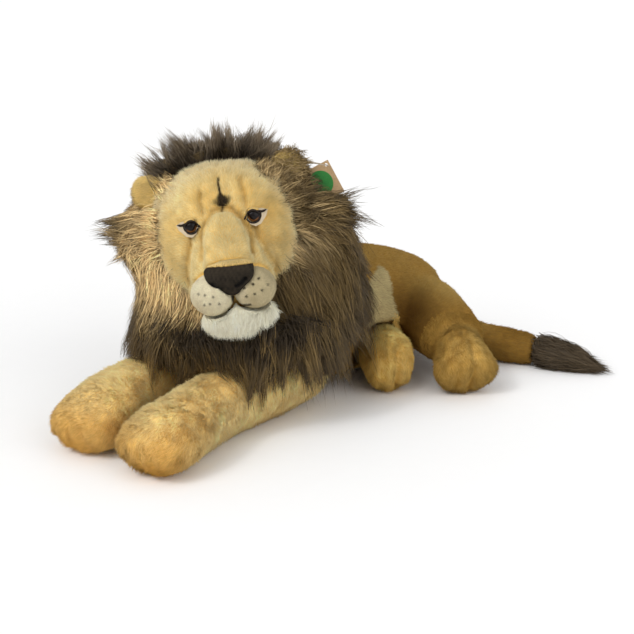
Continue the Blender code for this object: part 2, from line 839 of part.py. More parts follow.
def make_felt(name, head, side):
    outline = [
        (side * (EYE_SPACING / 2 + out * EYE_RADIUS), EYE_RISE + up * EYE_RADIUS) for out, up in FELT_SHARES
    ]
    plane = HEAD_FRAME @ Matrix.Translation((0, -HEAD_DEPTH / 2, 0)) @ Matrix.Rotation(math.pi / 2, 4, "X")
    return skin_layer(name, head, outline, plane, HEAD_DEPTH * 0.7, FELT_THICKNESS, "felt_white")


def ear_frame(side):
    place = Vector((side * 0.453 * HEAD_WIDTH, -0.03 * HEAD_DEPTH, 0.333 * HEAD_HEIGHT))
    return (
        HEAD_FRAME
        @ Matrix.Translation(place)
        @ Matrix.Rotation(side * math.radians(38), 4, "Y")
        @ Matrix.Rotation(side * math.radians(14), 4, "Z")
    )


def make_ear(name, side, *neighbours):
    frame = ear_frame(side)
    half = (EAR_RADIUS, EAR_THICKNESS / 2, EAR_RADIUS * 1.1)
    ear = clear_of(ellipsoid(name, Vector(), half, "plush_tan", frame), *neighbours)
    hollow = Vector((0, -EAR_THICKNESS * 0.55, EAR_RADIUS * 0.12))
    scoop = (EAR_RADIUS * 0.72, EAR_THICKNESS * 0.42, EAR_RADIUS * 0.78)
    return boolean(ear, ellipsoid("ear_hollow", hollow, scoop, None, frame, 12, 8))


def make_crest():
    """The upright fringe over the brow, an arc of standing pile from ear to ear."""
    stations = []
    count = 7
    span = math.radians(74)
    for i in range(count):
        turn = -span / 2 + span * i / (count - 1)
        end = min(i, count - 1 - i)
        fade = (0.45, 0.85, 1.0)[min(end, 2)]
        reach = 0.48 * HEAD_HEIGHT + 0.30 * CREST_HEIGHT
        place = Vector((math.sin(turn) * reach * 0.98, 0.02 * HEAD_DEPTH, math.cos(turn) * reach))
        stations.append((place, fade * CREST_THICKNESS / 2, fade * CREST_HEIGHT / 2 * 1.3))
    return loft("mane_crest", stations, "pile_dark", ring=8, frame=HEAD_FRAME, up=(0, 1, 0))


def keep_side(obj, frame):
    """Removes what lies on the frame's -Z side."""
    return boolean(obj, half_space(frame))


def mane_front(back_share, up_share, slope):
    """A plane across the head, leaning forwards at its foot, in front of which the mane is cut away."""
    place = Matrix.Translation((0, back_share * HEAD_DEPTH, up_share * HEAD_HEIGHT))
    return HEAD_FRAME @ place @ Matrix.Rotation(math.radians(-90 - slope), 4, "X")


def make_mane_pieces():
    """Bib, nape, left and right of the mane: one turned form, parted by seams."""
    level = Matrix.Translation((0, 0, MANE_FLOOR + BIB_HEIGHT))
    half_gap = SEAM_GAP / 2
    flip = Matrix.Rotation(math.pi, 4, "X")
    rim = mane_front(0, 0.40, RIM_SLOPE)
    slope = mane_front(-0.36, -0.38, BIB_SLOPE)
    nape = Matrix.Translation((0, 0.36 * HEAD_DEPTH, 0)) @ Matrix.Rotation(-math.pi / 2, 4, "X")
    nape_plane = HEAD_FRAME @ nape
    middle = HEAD_FRAME @ Matrix.Rotation(math.pi / 2, 4, "Y")

    def piece(name, finish, planes):
        obj = mane_form()
        obj.name = name
        for plane in planes:
            keep_side(obj, plane @ Matrix.Translation((0, 0, half_gap)))
        CUTTERS.objects.unlink(obj)
        PARTS.objects.link(obj)
        obj.hide_render = False
        obj.display_type = "TEXTURED"
        obj.data.materials.clear()
        obj.data.materials.append(material(finish))
        return obj

    return {
        "mane_bib": piece("mane_bib", "pile_dark", [level @ flip, slope]),
        "mane_nape": piece("mane_nape", "pile_brown", [level, nape_plane]),
        "mane_left": piece("mane_left", "pile_brown", [level, rim, nape_plane @ flip, middle]),
        "mane_right": piece("mane_right", "pile_brown", [level, rim, nape_plane @ flip, middle @ flip]),
    }


# Hang tag beside the left ear

TAG_HOLE = Vector((0.734 * HEAD_WIDTH, 0.20 * HEAD_DEPTH, 0.310 * HEAD_HEIGHT))
TAG_AIM = 72


def tag_frame():
    """The tag's hole, with the card in the frame's XZ plane and the hole's axis along its Y."""
    return HEAD_FRAME @ Matrix.Translation(TAG_HOLE) @ Matrix.Rotation(math.radians(TAG_AIM), 4, "Y")


def make_tag():
    frame = tag_frame()
    inset = TAG_SIDE / 2 - 2.4 * TAG_HOLE_RADIUS
    bm = bmesh.new()
    bmesh.ops.create_cube(bm, size=1)
    bm.transform(Matrix.Diagonal((TAG_SIDE, TAG_THICKNESS, TAG_SIDE, 1)))
    bm.transform(frame @ Matrix.Translation((inset, 0, -inset)))
    tag = mesh_object("hang_tag", bm, "tag_card")
    tag.data.shade_flat()
    hole = TAG_HOLE_RADIUS
    depth = TAG_THICKNESS * 2
    profile = [(0, depth), (hole, depth), (hole, -depth), (0, -depth)]
    return boolean(tag, turned("drill", profile, frame @ Matrix.Rotation(math.pi / 2, 4, "X")))


def tag_slot():
    """The flat gap in the pile that the card swings in, turned about the card's hole."""
    reach = TAG_SIDE * math.sqrt(2)
    half = TAG_THICKNESS / 2 + SWING_GAP
    frame = tag_frame() @ Matrix.Rotation(math.pi / 2, 4, "X")
    return turned("tag_slot", [(0, half), (reach, half), (reach, -half), (0, -half)], frame)


def loop_way():
    ear_top = ear_frame(1) @ Vector((0, 0, 0.6 * EAR_RADIUS))
    return (ear_top - tag_frame().translation).normalized()


def loop_pocket():
    """The hollow in the pile that the loop stands in."""
    centre = tag_frame().translation + loop_way() * LOOP_RADIUS
    reach = LOOP_RADIUS + LOOP_WIRE_RADIUS + SWING_GAP
    return ellipsoid("loop_pocket", centre, (reach, reach, reach), around=16, up=10)


def make_loop():
    """A nylon ring through the tag's hole and the plush beside the ear."""
    frame = tag_frame()
    bpy.ops.mesh.primitive_torus_add(
        major_radius=LOOP_RADIUS, minor_radius=LOOP_WIRE_RADIUS, major_segments=24, minor_segments=6
    )
    loop = bpy.context.active_object
    loop.name = "tag_loop"
    for holder in list(loop.users_collection):
        holder.objects.unlink(loop)
    PARTS.objects.link(loop)
    way = loop_way()
    card_normal = (frame.to_3x3() @ Vector((0, 1, 0))).normalized()
    side = way.cross(card_normal).normalized()
    turn = Matrix((way, side.cross(way), side)).transposed().to_4x4()
    loop.data.transform(Matrix.Translation(frame.translation + way * LOOP_RADIUS) @ turn)
    loop.data.materials.append(material("loop_nylon"))
    loop.data.shade_smooth()
    return loop


def make_gusset(torso):
    outline = [(along * TORSO_LENGTH, up * TORSO_HEIGHT) for along, up in GUSSET_SHARES]
    # the outline's plane: its X along the torso, its Y up, its Z out of the left side
    plane = Matrix(((0, 0, 1, 0), (1, 0, 0, 0), (0, 1, 0, 0), (0, 0, 0, 1)))
    outwards = Matrix.Translation((TORSO_WIDTH / 2 + 0.05 * TORSO_WIDTH, 0, 0))
    frame = outwards @ plane
    return skin_layer("belly_gusset", torso, outline, frame, TORSO_WIDTH, PANEL_THICKNESS, "plush_cream")


def make_face(head, tree):
    """Everything sewn or pushed on the front of the head."""
    snout = make_snout()
    bridge = make_bridge()
    nose = make_nose()
    pads = {"whisker_pad_" + label: make_pad("whisker_pad_" + label, side) for label, side in SIDES}
    chin = make_chin()
    clear_of(snout, head)
    clear_of(bridge, head, snout)
    for pad in pads.values():
        clear_of(pad, head, snout, bridge, nose)
    clear_of(bridge, nose)
    clear_of(snout, nose)
    clear_of(chin, head, snout, *pads.values())
    found = {"snout": snout, "nose_bridge": bridge, "nose": nose, "chin": chin, **pads}
    for label, side in SIDES:
        frame = eye_frame(tree, side)
        felt = make_felt("eye_felt_" + label, head, side)
        room = turned("eye_room", eye_room_profile(), frame)
        for piece in (felt, head, snout, bridge):
            boolean(piece, room)
        clear_of(felt, snout, bridge)
        found["eye_felt_" + label] = felt
        found["eye_" + label] = turned("eye_" + label, eye_profile(), frame, "eye_gloss")
        washer = turned("eye_washer_" + label, washer_profile(), frame, "washer_plastic")
        found["eye_washer_" + label] = washer
    return found


def main():
    torso = make_torso()
    legs = {side: make_foreleg("foreleg_" + label, side) for label, side in SIDES}
    haunch = make_haunch()
    right_haunch = make_right_haunch()
    foot = make_foot("hind_foot_left", HOCK, FOOT_AIM, HIND_FOOT_LENGTH, HIND_FOOT_SHARES)
    right_foot = make_foot(
        "hind_foot_right", RIGHT_HOCK, RIGHT_FOOT_AIM, RIGHT_FOOT_LENGTH, RIGHT_FOOT_SHARES
    )
    tail = make_tail()
    tuft = make_tuft()
    gusset = make_gusset(torso)
    clear_of(haunch, torso, gusset)
    clear_of(right_haunch, torso)
    clear_of(tuft, tail)
    for side, leg in legs.items():
        low, high = (0, FORELEG_SPREAD) if side > 0 else (-FORELEG_SPREAD, 0)
        make_way([torso], leg, foreleg_pivot(side), low, high)
    make_way([torso, haunch], right_foot, RIGHT_HOCK, -HIND_FOOT_SWING, HIND_FOOT_SWING)
    make_way([haunch], foot, HOCK, -HIND_FOOT_SWING, HIND_FOOT_SWING)
    make_close_way([torso, haunch], tail, TAIL_ROOT, -TAIL_SWING_IN, TAIL_SWING_OUT)

    head = make_head()
    tree = surface_tree(head)
    face = make_face(head, tree)
    crest = clear_of(make_crest(), head)
    ears = {side: make_ear("ear_" + label, side, head, crest) for label, side in SIDES}
    tag = make_tag()
    loop = keep_whole(make_loop())
    clear_of(ears[1], loop)
    make_way([torso], head, NECK, -NECK_TURN, NECK_TURN)
    make_way([torso], face["chin"], NECK, -NECK_TURN, NECK_TURN)
    mane = make_mane_pieces()
    for piece in mane.values():
        clear_of(piece, head, crest, face["chin"], face["snout"], *ears.values())
        for still in (torso, gusset):
            make_way([piece], still, NECK, -NECK_TURN, NECK_TURN)
    for piece in (mane["mane_left"], mane["mane_nape"]):
        boolean(piece, tag_slot())
        boolean(piece, loop_pocket())
    for piece in mane.values():
        drop_offcuts(piece)

    head_pieces = [head, crest, loop, *face.values(), *ears.values(), *mane.values()]
    hang(pivot_empty("neck_pivot", NECK), *head_pieces)
    hang(pivot_empty("tag_pivot", tag_frame().translation), tag)
    for side, leg in legs.items():
        hang(pivot_empty(leg.name + "_pivot", foreleg_pivot(side)), leg)
    hang(pivot_empty("hind_foot_left_pivot", HOCK), foot)
    hang(pivot_empty("hind_foot_right_pivot", RIGHT_HOCK), right_foot)
    hang(pivot_empty("tail_pivot", TAIL_ROOT), tail, tuft)


main()
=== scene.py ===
"""Looks of the plush lion: skins with sewn pile, a long mane, the face, floor, light and camera."""

import math

import bmesh
import bpy
import numpy as np
from mathutils import Matrix, Vector
from mathutils.bvhtree import BVHTree


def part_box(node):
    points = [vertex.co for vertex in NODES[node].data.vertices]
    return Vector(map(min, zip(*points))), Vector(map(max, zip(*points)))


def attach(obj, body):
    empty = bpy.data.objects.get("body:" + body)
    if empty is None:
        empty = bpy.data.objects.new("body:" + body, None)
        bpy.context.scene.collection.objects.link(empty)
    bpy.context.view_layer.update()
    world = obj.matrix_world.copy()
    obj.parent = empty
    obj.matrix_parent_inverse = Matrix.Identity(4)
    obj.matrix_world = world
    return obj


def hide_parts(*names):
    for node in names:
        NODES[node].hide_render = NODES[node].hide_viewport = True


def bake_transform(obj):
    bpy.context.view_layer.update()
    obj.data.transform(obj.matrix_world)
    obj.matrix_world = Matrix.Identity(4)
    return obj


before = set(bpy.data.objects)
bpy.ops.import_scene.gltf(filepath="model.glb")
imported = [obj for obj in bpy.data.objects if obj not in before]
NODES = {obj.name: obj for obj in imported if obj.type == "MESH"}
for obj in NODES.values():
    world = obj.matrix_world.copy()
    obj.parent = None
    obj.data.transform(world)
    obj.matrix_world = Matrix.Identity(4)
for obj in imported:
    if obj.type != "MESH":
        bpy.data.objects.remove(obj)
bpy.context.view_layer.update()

# Head frame: +X the lion's left, -Y the way it faces, +Z its crown
HEAD = (
    Matrix.Translation((-0.0045, -0.22, 0.2899))
    @ Matrix.Rotation(math.radians(41), 4, "Z")
    @ Matrix.Rotation(math.radians(-10), 4, "X")
    @ Matrix.Rotation(math.radians(-10), 4, "Y")
)
HEAD_AT = np.array(HEAD.translation)
HEAD_TURN = np.array(HEAD.to_3x3())
SIDE, BACK, CROWN = HEAD_TURN.T
DOWN = np.array((0.0, 0.0, -1.0))
SIDES = (("left", 1), ("right", -1))
MM = 1000

# Colours, linear; the pile's roots are darker than its tips, as painted shade between the hairs
TAN_TIP = np.array((0.95, 0.75, 0.34))
TAN_ROOT = np.array((0.80, 0.54, 0.16))
OCHRE_TIP = np.array((0.58, 0.36, 0.095))
OCHRE_ROOT = np.array((0.42, 0.225, 0.040))
FACE_TIP = np.array((0.95, 0.82, 0.45))
CREAM_TIP = np.array((0.58, 0.49, 0.24))
CREAM_ROOT = np.array((0.40, 0.30, 0.14))
PAD_TIP = np.array((0.95, 0.84, 0.58))
WHITE_TIP = np.array((0.95, 0.92, 0.73))
WHITE_ROOT = np.array((0.86, 0.80, 0.60))
DARK = np.array((0.022, 0.015, 0.008))
DARK_TIP = np.array((0.060, 0.043, 0.025))
MANE_TAN = np.array((0.60, 0.43, 0.205))
MANE_BROWN = np.array((0.138, 0.090, 0.033))
# the body's deeper tone, partly its colour and partly painted shade from the mane over it
BODY_TONE_AND_SHADE = np.array((0.66, 0.60, 0.46))
LEG_TIP = np.array((0.95, 0.76, 0.38))
LEG_ROOT = np.array((0.95, 0.62, 0.20))
CREST_GREY = np.array((0.300, 0.232, 0.155))
BROW_MARK = np.array((0.034, 0.017, 0.010))
FACE_RIM = np.array((0.95, 0.85, 0.58))
NOSE_TONE = np.array((0.017, 0.0125, 0.0075))
EYE_BLACK = np.array((0.006, 0.004, 0.004))
AMBER = np.array((0.19, 0.075, 0.022))
DARKEST = 0.004
BRIGHTEST = 0.95

# Skins: voxel size and depth drawn in for the pile, in metres, and rounds of smoothing
SKINS = {
    "body": (0.0045, 0.0035, 8),
    "foreleg": (0.0045, 0.0035, 8),
    "hind_foot": (0.0040, 0.0035, 6),
    "cuff": (0.0040, 0.0030, 8),
    "tail": (0.0040, 0.0030, 5),
    "tuft": (0.0040, 0.0090, 6),
    "tuft_form": (0.0040, 0, 4),
    "mane_shell": (0.0060, 0, 6),
    "mane_backing": (0.0060, 0.0210, 14),
    "head": (0.0024, 0.0024, 5),
    "pad": (0.0020, 0.0012, 4),
    "chin": (0.0030, 0.0060, 5),
    "ear": (0.0030, 0.0020, 4),
    "ear_form": (0.0030, 0, 3),
    "nose": (0.0013, 0, 5),
    "eye": (0.0009, 0, 6),
}

# Pile: hairs to the square metre, length and width in metres, how far they lean, how much they tuft
PILES = {
    "body": (270000, 0.0075, 0.0013, 0.66, 0.30),
    "foreleg": (320000, 0.0100, 0.0013, 0.52, 0.62),
    "hind_foot": (320000, 0.0090, 0.0013, 0.52, 0.65),
    "cuff": (330000, 0.0100, 0.0013, 0.62, 0.35),
    "tail": (320000, 0.0085, 0.0013, 0.60, 0.45),
    "head": (760000, None, 0.0010, 0.50, 0.60),
    "pad": (1000000, 0.0032, 0.0007, 0.50, 0.50),
    "chin": (420000, 0.0150, 0.0009, 0.55, 0.60),
    "ear": (600000, 0.0085, 0.0011, 0.70, 0.60),
    "nose_top": (1300000, 0.0042, 0.0008, 0.55, 0.40),
    "lid": (1500000, 0.0034, 0.0008, 0.60, 0.30),
}
PIECE_HAIRS = 60000
RINGS = 7
LOWEST_HAIR = 0.0008
MANE_WIDTH = 0.0009


def unit(v):
    return v / np.maximum(np.linalg.norm(v, axis=-1, keepdims=True), 1e-12)


def local(points):
    """World points in the head's frame."""
    return (points - HEAD_AT) @ HEAD_TURN


def local_paths(paths):
    return local(paths.reshape(-1, 3)).reshape(paths.shape)


def noise(points, size, seed):
    """Smooth noise of about -1 to 1 with features of the given size."""
    r = np.random.default_rng(seed)
    waves = r.normal(size=(10, 3)) / size * 1.6
    shift = r.uniform(0, math.tau, 10)
    return np.sin(points @ waves.T + shift).sum(-1) / 3.6


def noise3(points, size, seed):
    return np.stack([noise(points, size, seed + i) for i in range(3)], -1)


def mix(a, b, share):
    share = np.clip(share, 0, 1)[..., None]
    return a * (1 - share) + b * share


def ramp(x, low, high):
    t = np.clip((x - low) / (high - low), 0, 1)
    return t * t * (3 - 2 * t)


def bell(x):
    return np.exp(-(x**2))


def even(size):
    """The same length at every point."""
    return lambda points, *_: np.full(len(points), size)


def towards(direction):
    """The same way at every point."""
    way = np.array(direction, float)
    return lambda points, *_: np.tile(way, (len(points), 1))


def plain(root, tip=None):
    """The same colours at every point."""
    return lambda points, normals: (root, tip)


def add_object(name, data):
    obj = bpy.data.objects.new(name, data)
    bpy.context.scene.collection.objects.link(obj)
    return obj


def from_bmesh(name, bm):
    mesh = bpy.data.meshes.new(name)
    bm.to_mesh(mesh)
    bm.free()
    return add_object(name, mesh)


def cover(obj, mat):
    obj.data.materials.clear()
    obj.data.materials.append(mat)


# Materials


def material(
    name, colour=(0.8, 0.8, 0.8), tinted=False, grain=0.12, scale=900, bump=0.25, rough=0.85, specular=0.3
):
    """Principled with a fine grain in colour and bump; tinted ones take their colour from the mesh."""
    mat = bpy.data.materials.new(name)
    mat.use_nodes = True
    nodes = mat.node_tree.nodes
    links = mat.node_tree.links
    shader = nodes["Principled BSDF"]
    shader.inputs["Roughness"].default_value = rough
    shader.inputs["Specular IOR Level"].default_value = specular
    place = nodes.new("ShaderNodeTexCoord")
    speckle = nodes.new("ShaderNodeTexNoise")
    speckle.inputs["Scale"].default_value = scale
    speckle.inputs["Detail"].default_value = 3
    links.new(place.outputs["Object"], speckle.inputs["Vector"])
    light = nodes.new("ShaderNodeMapRange")
    light.inputs["To Min"].default_value = 1 - grain * 2
    light.inputs["To Max"].default_value = 1 + grain * 2
    links.new(speckle.outputs["Fac"], light.inputs["Value"])
    tint = nodes.new("ShaderNodeVectorMath")
    tint.operation = "SCALE"
    if tinted:
        source = nodes.new("ShaderNodeAttribute")
        source.attribute_name = "tint"
        links.new(source.outputs["Color"], tint.inputs[0])
    else:
        tint.inputs[0].default_value = colour
    links.new(light.outputs["Result"], tint.inputs["Scale"])
    links.new(tint.outputs["Vector"], shader.inputs["Base Color"])
    if bump:
        relief = nodes.new("ShaderNodeBump")
        relief.inputs["Strength"].default_value = bump
        relief.inputs["Distance"].default_value = 0.001
        links.new(speckle.outputs["Fac"], relief.inputs["Height"])
        links.new(relief.outputs["Normal"], shader.inputs["Normal"])
    return mat


PILE = material("plush_pile", tinted=True, bump=0, rough=0.85, specular=0.12)
HAIR = material("mane_pile", tinted=True, bump=0, rough=0.55, specular=0.18)
BACKING = material("plush_backing", tinted=True, scale=500, bump=0.6)
SUEDE = material("nose_suede", tinted=True, grain=0.30, scale=1400, bump=0.5, rough=0.8, specular=0.15)
GLOSS = material("eye_gloss", tinted=True, grain=0.02, bump=0, rough=0.06, specular=0.20)
FELT = material("felt", (0.60, 0.49, 0.34), grain=0.10, scale=1600, bump=0.7, rough=0.95)
THREAD = material("dark_thread", (0.020, 0.013, 0.009), grain=0.2, scale=2500, bump=0.3)
KRAFT = material("kraft_card", (0.45, 0.30, 0.16), grain=0.16, scale=420, bump=0.15, rough=0.8)
PRINT = material("green_print", (0.035, 0.22, 0.045), grain=0.20, scale=700, bump=0.05, rough=0.75)
NYLON = material("loop_nylon", (0.42, 0.36, 0.28), grain=0.03, bump=0, rough=0.3)
WASHER = material("washer_plastic", (0.85, 0.85, 0.82), grain=0.03, bump=0.05, rough=0.45)


# Skins


def settle(obj):
    """Turns the object's modifiers into its mesh."""
    graph = bpy.context.evaluated_depsgraph_get()
    mesh = bpy.data.meshes.new_from_object(obj.evaluated_get(graph), depsgraph=graph)
    obj.modifiers.clear()
    obj.data = mesh


def form(name, nodes, kind):
    """One skin over the given solids: remeshed, softened and drawn in by the depth of its pile."""
    voxel, inset, smooth = SKINS[kind]
    bm = bmesh.new()
    for node in nodes:
        bm.from_mesh(NODES[node].data)
    obj = from_bmesh(name, bm)
    remesh = obj.modifiers.new("skin", "REMESH")
    remesh.mode = "VOXEL"
    remesh.voxel_size = voxel
    soften = obj.modifiers.new("soften", "SMOOTH")
    soften.factor = 0.5
    soften.iterations = smooth
    if inset:
        draw_in = obj.modifiers.new("draw_in", "DISPLACE")
        draw_in.mid_level = 0
        draw_in.strength = -inset
    settle(obj)
    obj.data.shade_smooth()
    return obj


def points_of(obj, what="co"):
    values = np.empty(len(obj.data.vertices) * 3)
    obj.data.vertices.foreach_get(what, values)
    return values.reshape(-1, 3)


def normals_of(obj):
    return points_of(obj, "normal")


def move_points(obj, co):
    obj.data.vertices.foreach_set("co", np.ascontiguousarray(co, np.float32).ravel())
    obj.data.update()


def paint(obj, colours):
    """Colours each vertex, for the materials that read tint."""
    layer = obj.data.color_attributes.new("tint", "FLOAT_COLOR", "POINT")
    rgba = np.ones((len(obj.data.vertices), 4), np.float32)
    rgba[:, :3] = colours
    layer.data.foreach_set("color", rgba.ravel())


def back(obj, tint):
    """Gives a skin the root colours of its pile."""
    paint(obj, tint(points_of(obj), normals_of(obj))[0])
    cover(obj, BACKING)


def tree_of(obj):
    faces = [tuple(p.vertices) for p in obj.data.polygons]
    return BVHTree.FromPolygons([tuple(p) for p in points_of(obj)], faces)


def inside(tree, points, reach):
    """Which points lie inside a closed form, by the nearest face's side."""
    found = np.zeros(len(points), bool)
    for i, p in enumerate(points):
        place, normal, _, _ = tree.find_nearest(p, reach)
        if place is not None:
            found[i] = (Vector(p) - place).dot(normal) < 0
    return found


def polyline_distance(points, line):
    """Distance of 2-D points from a line of points."""
    line = np.array(line, float)
    best = np.full(len(points), 1000.0)
    for a, b in zip(line, line[1:]):
        along = b - a
        t = np.clip(((points - a) @ along) / max(along @ along, 1e-12), 0, 1)
        best = np.minimum(best, np.linalg.norm(points - a - t[:, None] * along, axis=1))
    return best


# Pile


def scatter(obj, density, seed):
    """Points on the object's skin, with normals."""
    r = np.random.default_rng(seed)
    mesh = obj.data
    mesh.calc_loop_triangles()
    tris = np.empty(len(mesh.loop_triangles) * 3, np.int64)
    mesh.loop_triangles.foreach_get("vertices", tris)
    tris = tris.reshape(-1, 3)
    co, nv = points_of(obj), normals_of(obj)
    a, b, c = (co[tris[:, k]] for k in range(3))
    area = np.linalg.norm(np.cross(b - a, c - a), axis=1) / 2
    count = int(area.sum() * density)
    edges = np.cumsum(area)
    picks = (np.arange(count) + r.uniform(0, 1, count)) / count * edges[-1]
    chosen = np.minimum(np.searchsorted(edges, picks), len(tris) - 1)
    u, v = r.uniform(size=(2, count))
    flip = u + v > 1
    u[flip], v[flip] = 1 - u[flip], 1 - v[flip]
    w = np.stack([1 - u - v, u, v], 1)[:, :, None]
    return (co[tris[chosen]] * w).sum(1), unit((nv[tris[chosen]] * w).sum(1))


def strand_mesh(name, co, one, sizes, spots, tints, normals, mat):
    """One mesh of equal strands, given by one strand's faces, each in its own cell of the map."""
    count, per, _ = co.shape
    loops = (one[None, :] + np.arange(count)[:, None] * per).ravel()
    totals = np.tile(sizes, count)
    starts = np.concatenate([[0], np.cumsum(totals)[:-1]])
    mesh = bpy.data.meshes.new(name)
    mesh.vertices.add(count * per)
    mesh.vertices.foreach_set("co", co.astype(np.float32).ravel())
    mesh.loops.add(len(loops))
    mesh.loops.foreach_set("vertex_index", loops.astype(np.int32))
    mesh.polygons.add(len(totals))
    mesh.polygons.foreach_set("loop_start", starts.astype(np.int32))
    mesh.update(calc_edges=True)
    side = int(math.ceil(math.sqrt(count)))
    cell = np.stack([np.arange(count) % side, np.arange(count) // side], 1)
    uv = (cell[:, None, :] + spots[None, :, :]) / side
    mesh.uv_layers.new(name="OFBake").data.foreach_set("uv", uv.astype(np.float32).ravel())
    obj = add_object(name, mesh)
    paint(obj, tints.reshape(-1, 3))
    mesh.shade_smooth()
    mesh.normals_split_custom_set_from_vertices(normals.reshape(-1, 3).tolist())
    mesh.materials.append(mat)
    return obj


def both_edges(values, per):
    """Values along the strands, repeated for both edges, with one at the tip."""
    out = np.empty((len(values), per, 3))
    out[:, 0:-1:2] = out[:, 1:-1:2] = values[:, :-1]
    out[:, -1] = values[:, -1]
    return out


def ribbons(name, paths, widths, outward, colours):
    """Tapered ribbons, each along its path and coloured along it."""
    count = len(paths)
    along = unit(np.gradient(paths, axis=1))
    across = unit(np.cross(along, outward[:, None, :]))
    r = np.random.default_rng(count)
    roll = r.normal(0, 0.45, (count, 1, 1))
    across = unit(across * np.cos(roll) + np.cross(along, across) * np.sin(roll))
    t = np.linspace(0, 1, RINGS)
    half = widths[:, None] / 2 * (1 - t[None, :] ** 2 * 0.55)
    per = 2 * (RINGS - 1) + 1
    co = np.empty((count, per, 3))
    co[:, 0:-1:2] = (paths - across * half[..., None])[:, :-1]
    co[:, 1:-1:2] = (paths + across * half[..., None])[:, :-1]
    co[:, -1] = paths[:, -1]
    faces = [2 * k + corner for k in range(RINGS - 2) for corner in (0, 1, 3, 2)]
    one = np.array([*faces, per - 3, per - 2, per - 1])
    # the map: the root at the cell's foot and the tip at its top
    spot = np.empty((per, 2))
    spot[0:-1:2, 0], spot[1:-1:2, 0], spot[-1, 0] = 0.1, 0.9, 0.5
    spot[0:-1:2, 1] = spot[1:-1:2, 1] = t[:-1] * 0.8 + 0.1
    spot[-1, 1] = 0.9
    face_normal = unit(np.cross(across, along))
    facing = np.sign((face_normal * outward[:, None, :]).sum(-1, keepdims=True))
    shade = unit(outward[:, None, :] * 0.25 + face_normal * facing * 0.85)
    sizes = [4] * (RINGS - 2) + [3]
    tints, normals = both_edges(colours, per), both_edges(shade, per)
    return strand_mesh(name, co, one, sizes, spot[one], tints, normals, HAIR)


def spikes(name, roots, tips, widths, outward, root_tint, tip_tint):
    """Three-sided hairs, each drawn to a point."""
    count = len(roots)
    r = np.random.default_rng(count)
    along = unit(tips - roots)
    aside = unit(np.cross(along, r.normal(size=(count, 3))))
    other = np.cross(along, aside)
    co = np.empty((count, 4, 3))
    for k in range(3):
        turn = math.tau * k / 3
        co[:, k] = roots + (aside * math.cos(turn) + other * math.sin(turn)) * widths[:, None] * 0.58
    co[:, 3] = tips
    one = np.array((0, 1, 3, 1, 2, 3, 2, 0, 3))
    corners = ((0.04, 0.1), (0.96, 0.1), (0.5, 0.9))
    spots = np.array([(0.08 + 0.28 * (k + x), y) for k in range(3) for x, y in corners])
    tints = np.repeat(root_tint[:, None, :], 4, 1)
    tints[:, 3] = tip_tint
    return strand_mesh(name, co, one, [3, 3, 3], spots, tints, np.repeat(outward, 4, 0), PILE)


def pile(name, skin, body, slot, kind, comb, tint, keep=None, seed=1, length=None, press=None):
    """Short pile sewn all over a skin, in pieces, pressed over to one side where asked."""
    density, size, width, lean, tuft = PILES[kind]
    length = length or even(size)
    roots, normals = scatter(skin, density, seed)
    if press is not None:
        normals = unit(normals + np.array(press))
    if keep is not None:
        held = keep(roots, normals)
        roots, normals = roots[held], normals[held]
    parts = int(math.ceil(len(roots) / PIECE_HAIRS))
    order = np.array_split(np.argsort(roots[:, 0] if body == "head" else roots[:, 1]), parts)
    for k, held in enumerate(order):
        label = name if parts == 1 else name + "_" + "abcdef"[k]
        obj = pile_piece(label, roots[held], normals[held], length, width, comb, tint, lean, tuft, seed)
        if isinstance(body, str):
            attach(obj, body)
        else:
            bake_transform(obj)


def pile_piece(name, roots, normals, length, width, comb, tint, lean, tuft, seed):
    r = np.random.default_rng(seed + 50)
    count = len(roots)
    flow = comb(roots, normals)
    flow = unit(flow - normals * (flow * normals).sum(-1, keepdims=True))
    sway = noise3(roots, 0.016, seed) * tuft + noise3(roots, 0.006, seed + 9) * tuft * 0.5
    way = normals * (1 - lean) + flow * (lean + 0.15) + DOWN * 0.05 + sway * 0.40
    way = unit(way + r.normal(0, 0.13, (count, 3)))
    size = length(roots) * r.uniform(0.75, 1.15, count) * (1 + 0.15 * noise(roots, 0.02, seed + 3))
    tips = roots + way * size[:, None]
    tips[:, 2] = np.maximum(tips[:, 2], LOWEST_HAIR)
    clumps = 0.06 * noise(roots, 0.03, seed + 5)[:, None]
    bright = 1 + r.normal(0, 0.06, (count, 1)) + clumps + 0.07 * noise(roots, 0.007, seed + 6)[:, None]
    outward = unit(normals + way * 0.25)
    widths = np.full(count, width) * r.uniform(0.8, 1.2, count)
    tints = [np.clip(colour * bright, DARKEST, BRIGHTEST) for colour in tint(roots, normals)]
    return spikes(name, roots, tips, widths, outward, *tints)


def dress(name, nodes, body, kind, tint, shape=None, under=()):
    """A skin that stands for the nodes, drawn over them and the ones under them."""
    obj = form(name, (*nodes, *under), kind)
    if shape is not None:
        shape(obj)
    back(obj, tint)
    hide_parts(*nodes)
    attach(obj, body)
    return obj


# Heights in the head's frame, and the share by which the mane narrows there
WAIST = (
    (-0.150, -0.104, -0.073, -0.050, -0.032, 0.005, 0.030),
    (0.000, 0.200, 0.380, 0.430, 0.350, 0.130, 0.000),
)


def plush(name, nodes, body, kind, tint, comb, keep=None, seed=1, shape=None, slot="plush_tan", **more):
    """A skin that stands for the nodes, with its pile."""
    skin = dress(name + "_plush", nodes, body, kind, tint, shape)
    pile(name + "_pile", skin, body, slot, kind, comb, tint, keep, seed, **more)
    return skin


def waist(points):
    """On the lion's right the mane narrows beside the mouth and flares again above the leg."""
    at = local(points.reshape(-1, 3))
    over = np.maximum(-at[:, 0] - 0.10, 0) * (1 - 0.6 * ramp(at[:, 1], 0.03, 0.10))
    share = np.interp(at[:, 2], *WAIST)
    return (points.reshape(-1, 3) + np.outer(over * share, SIDE)).reshape(points.shape)


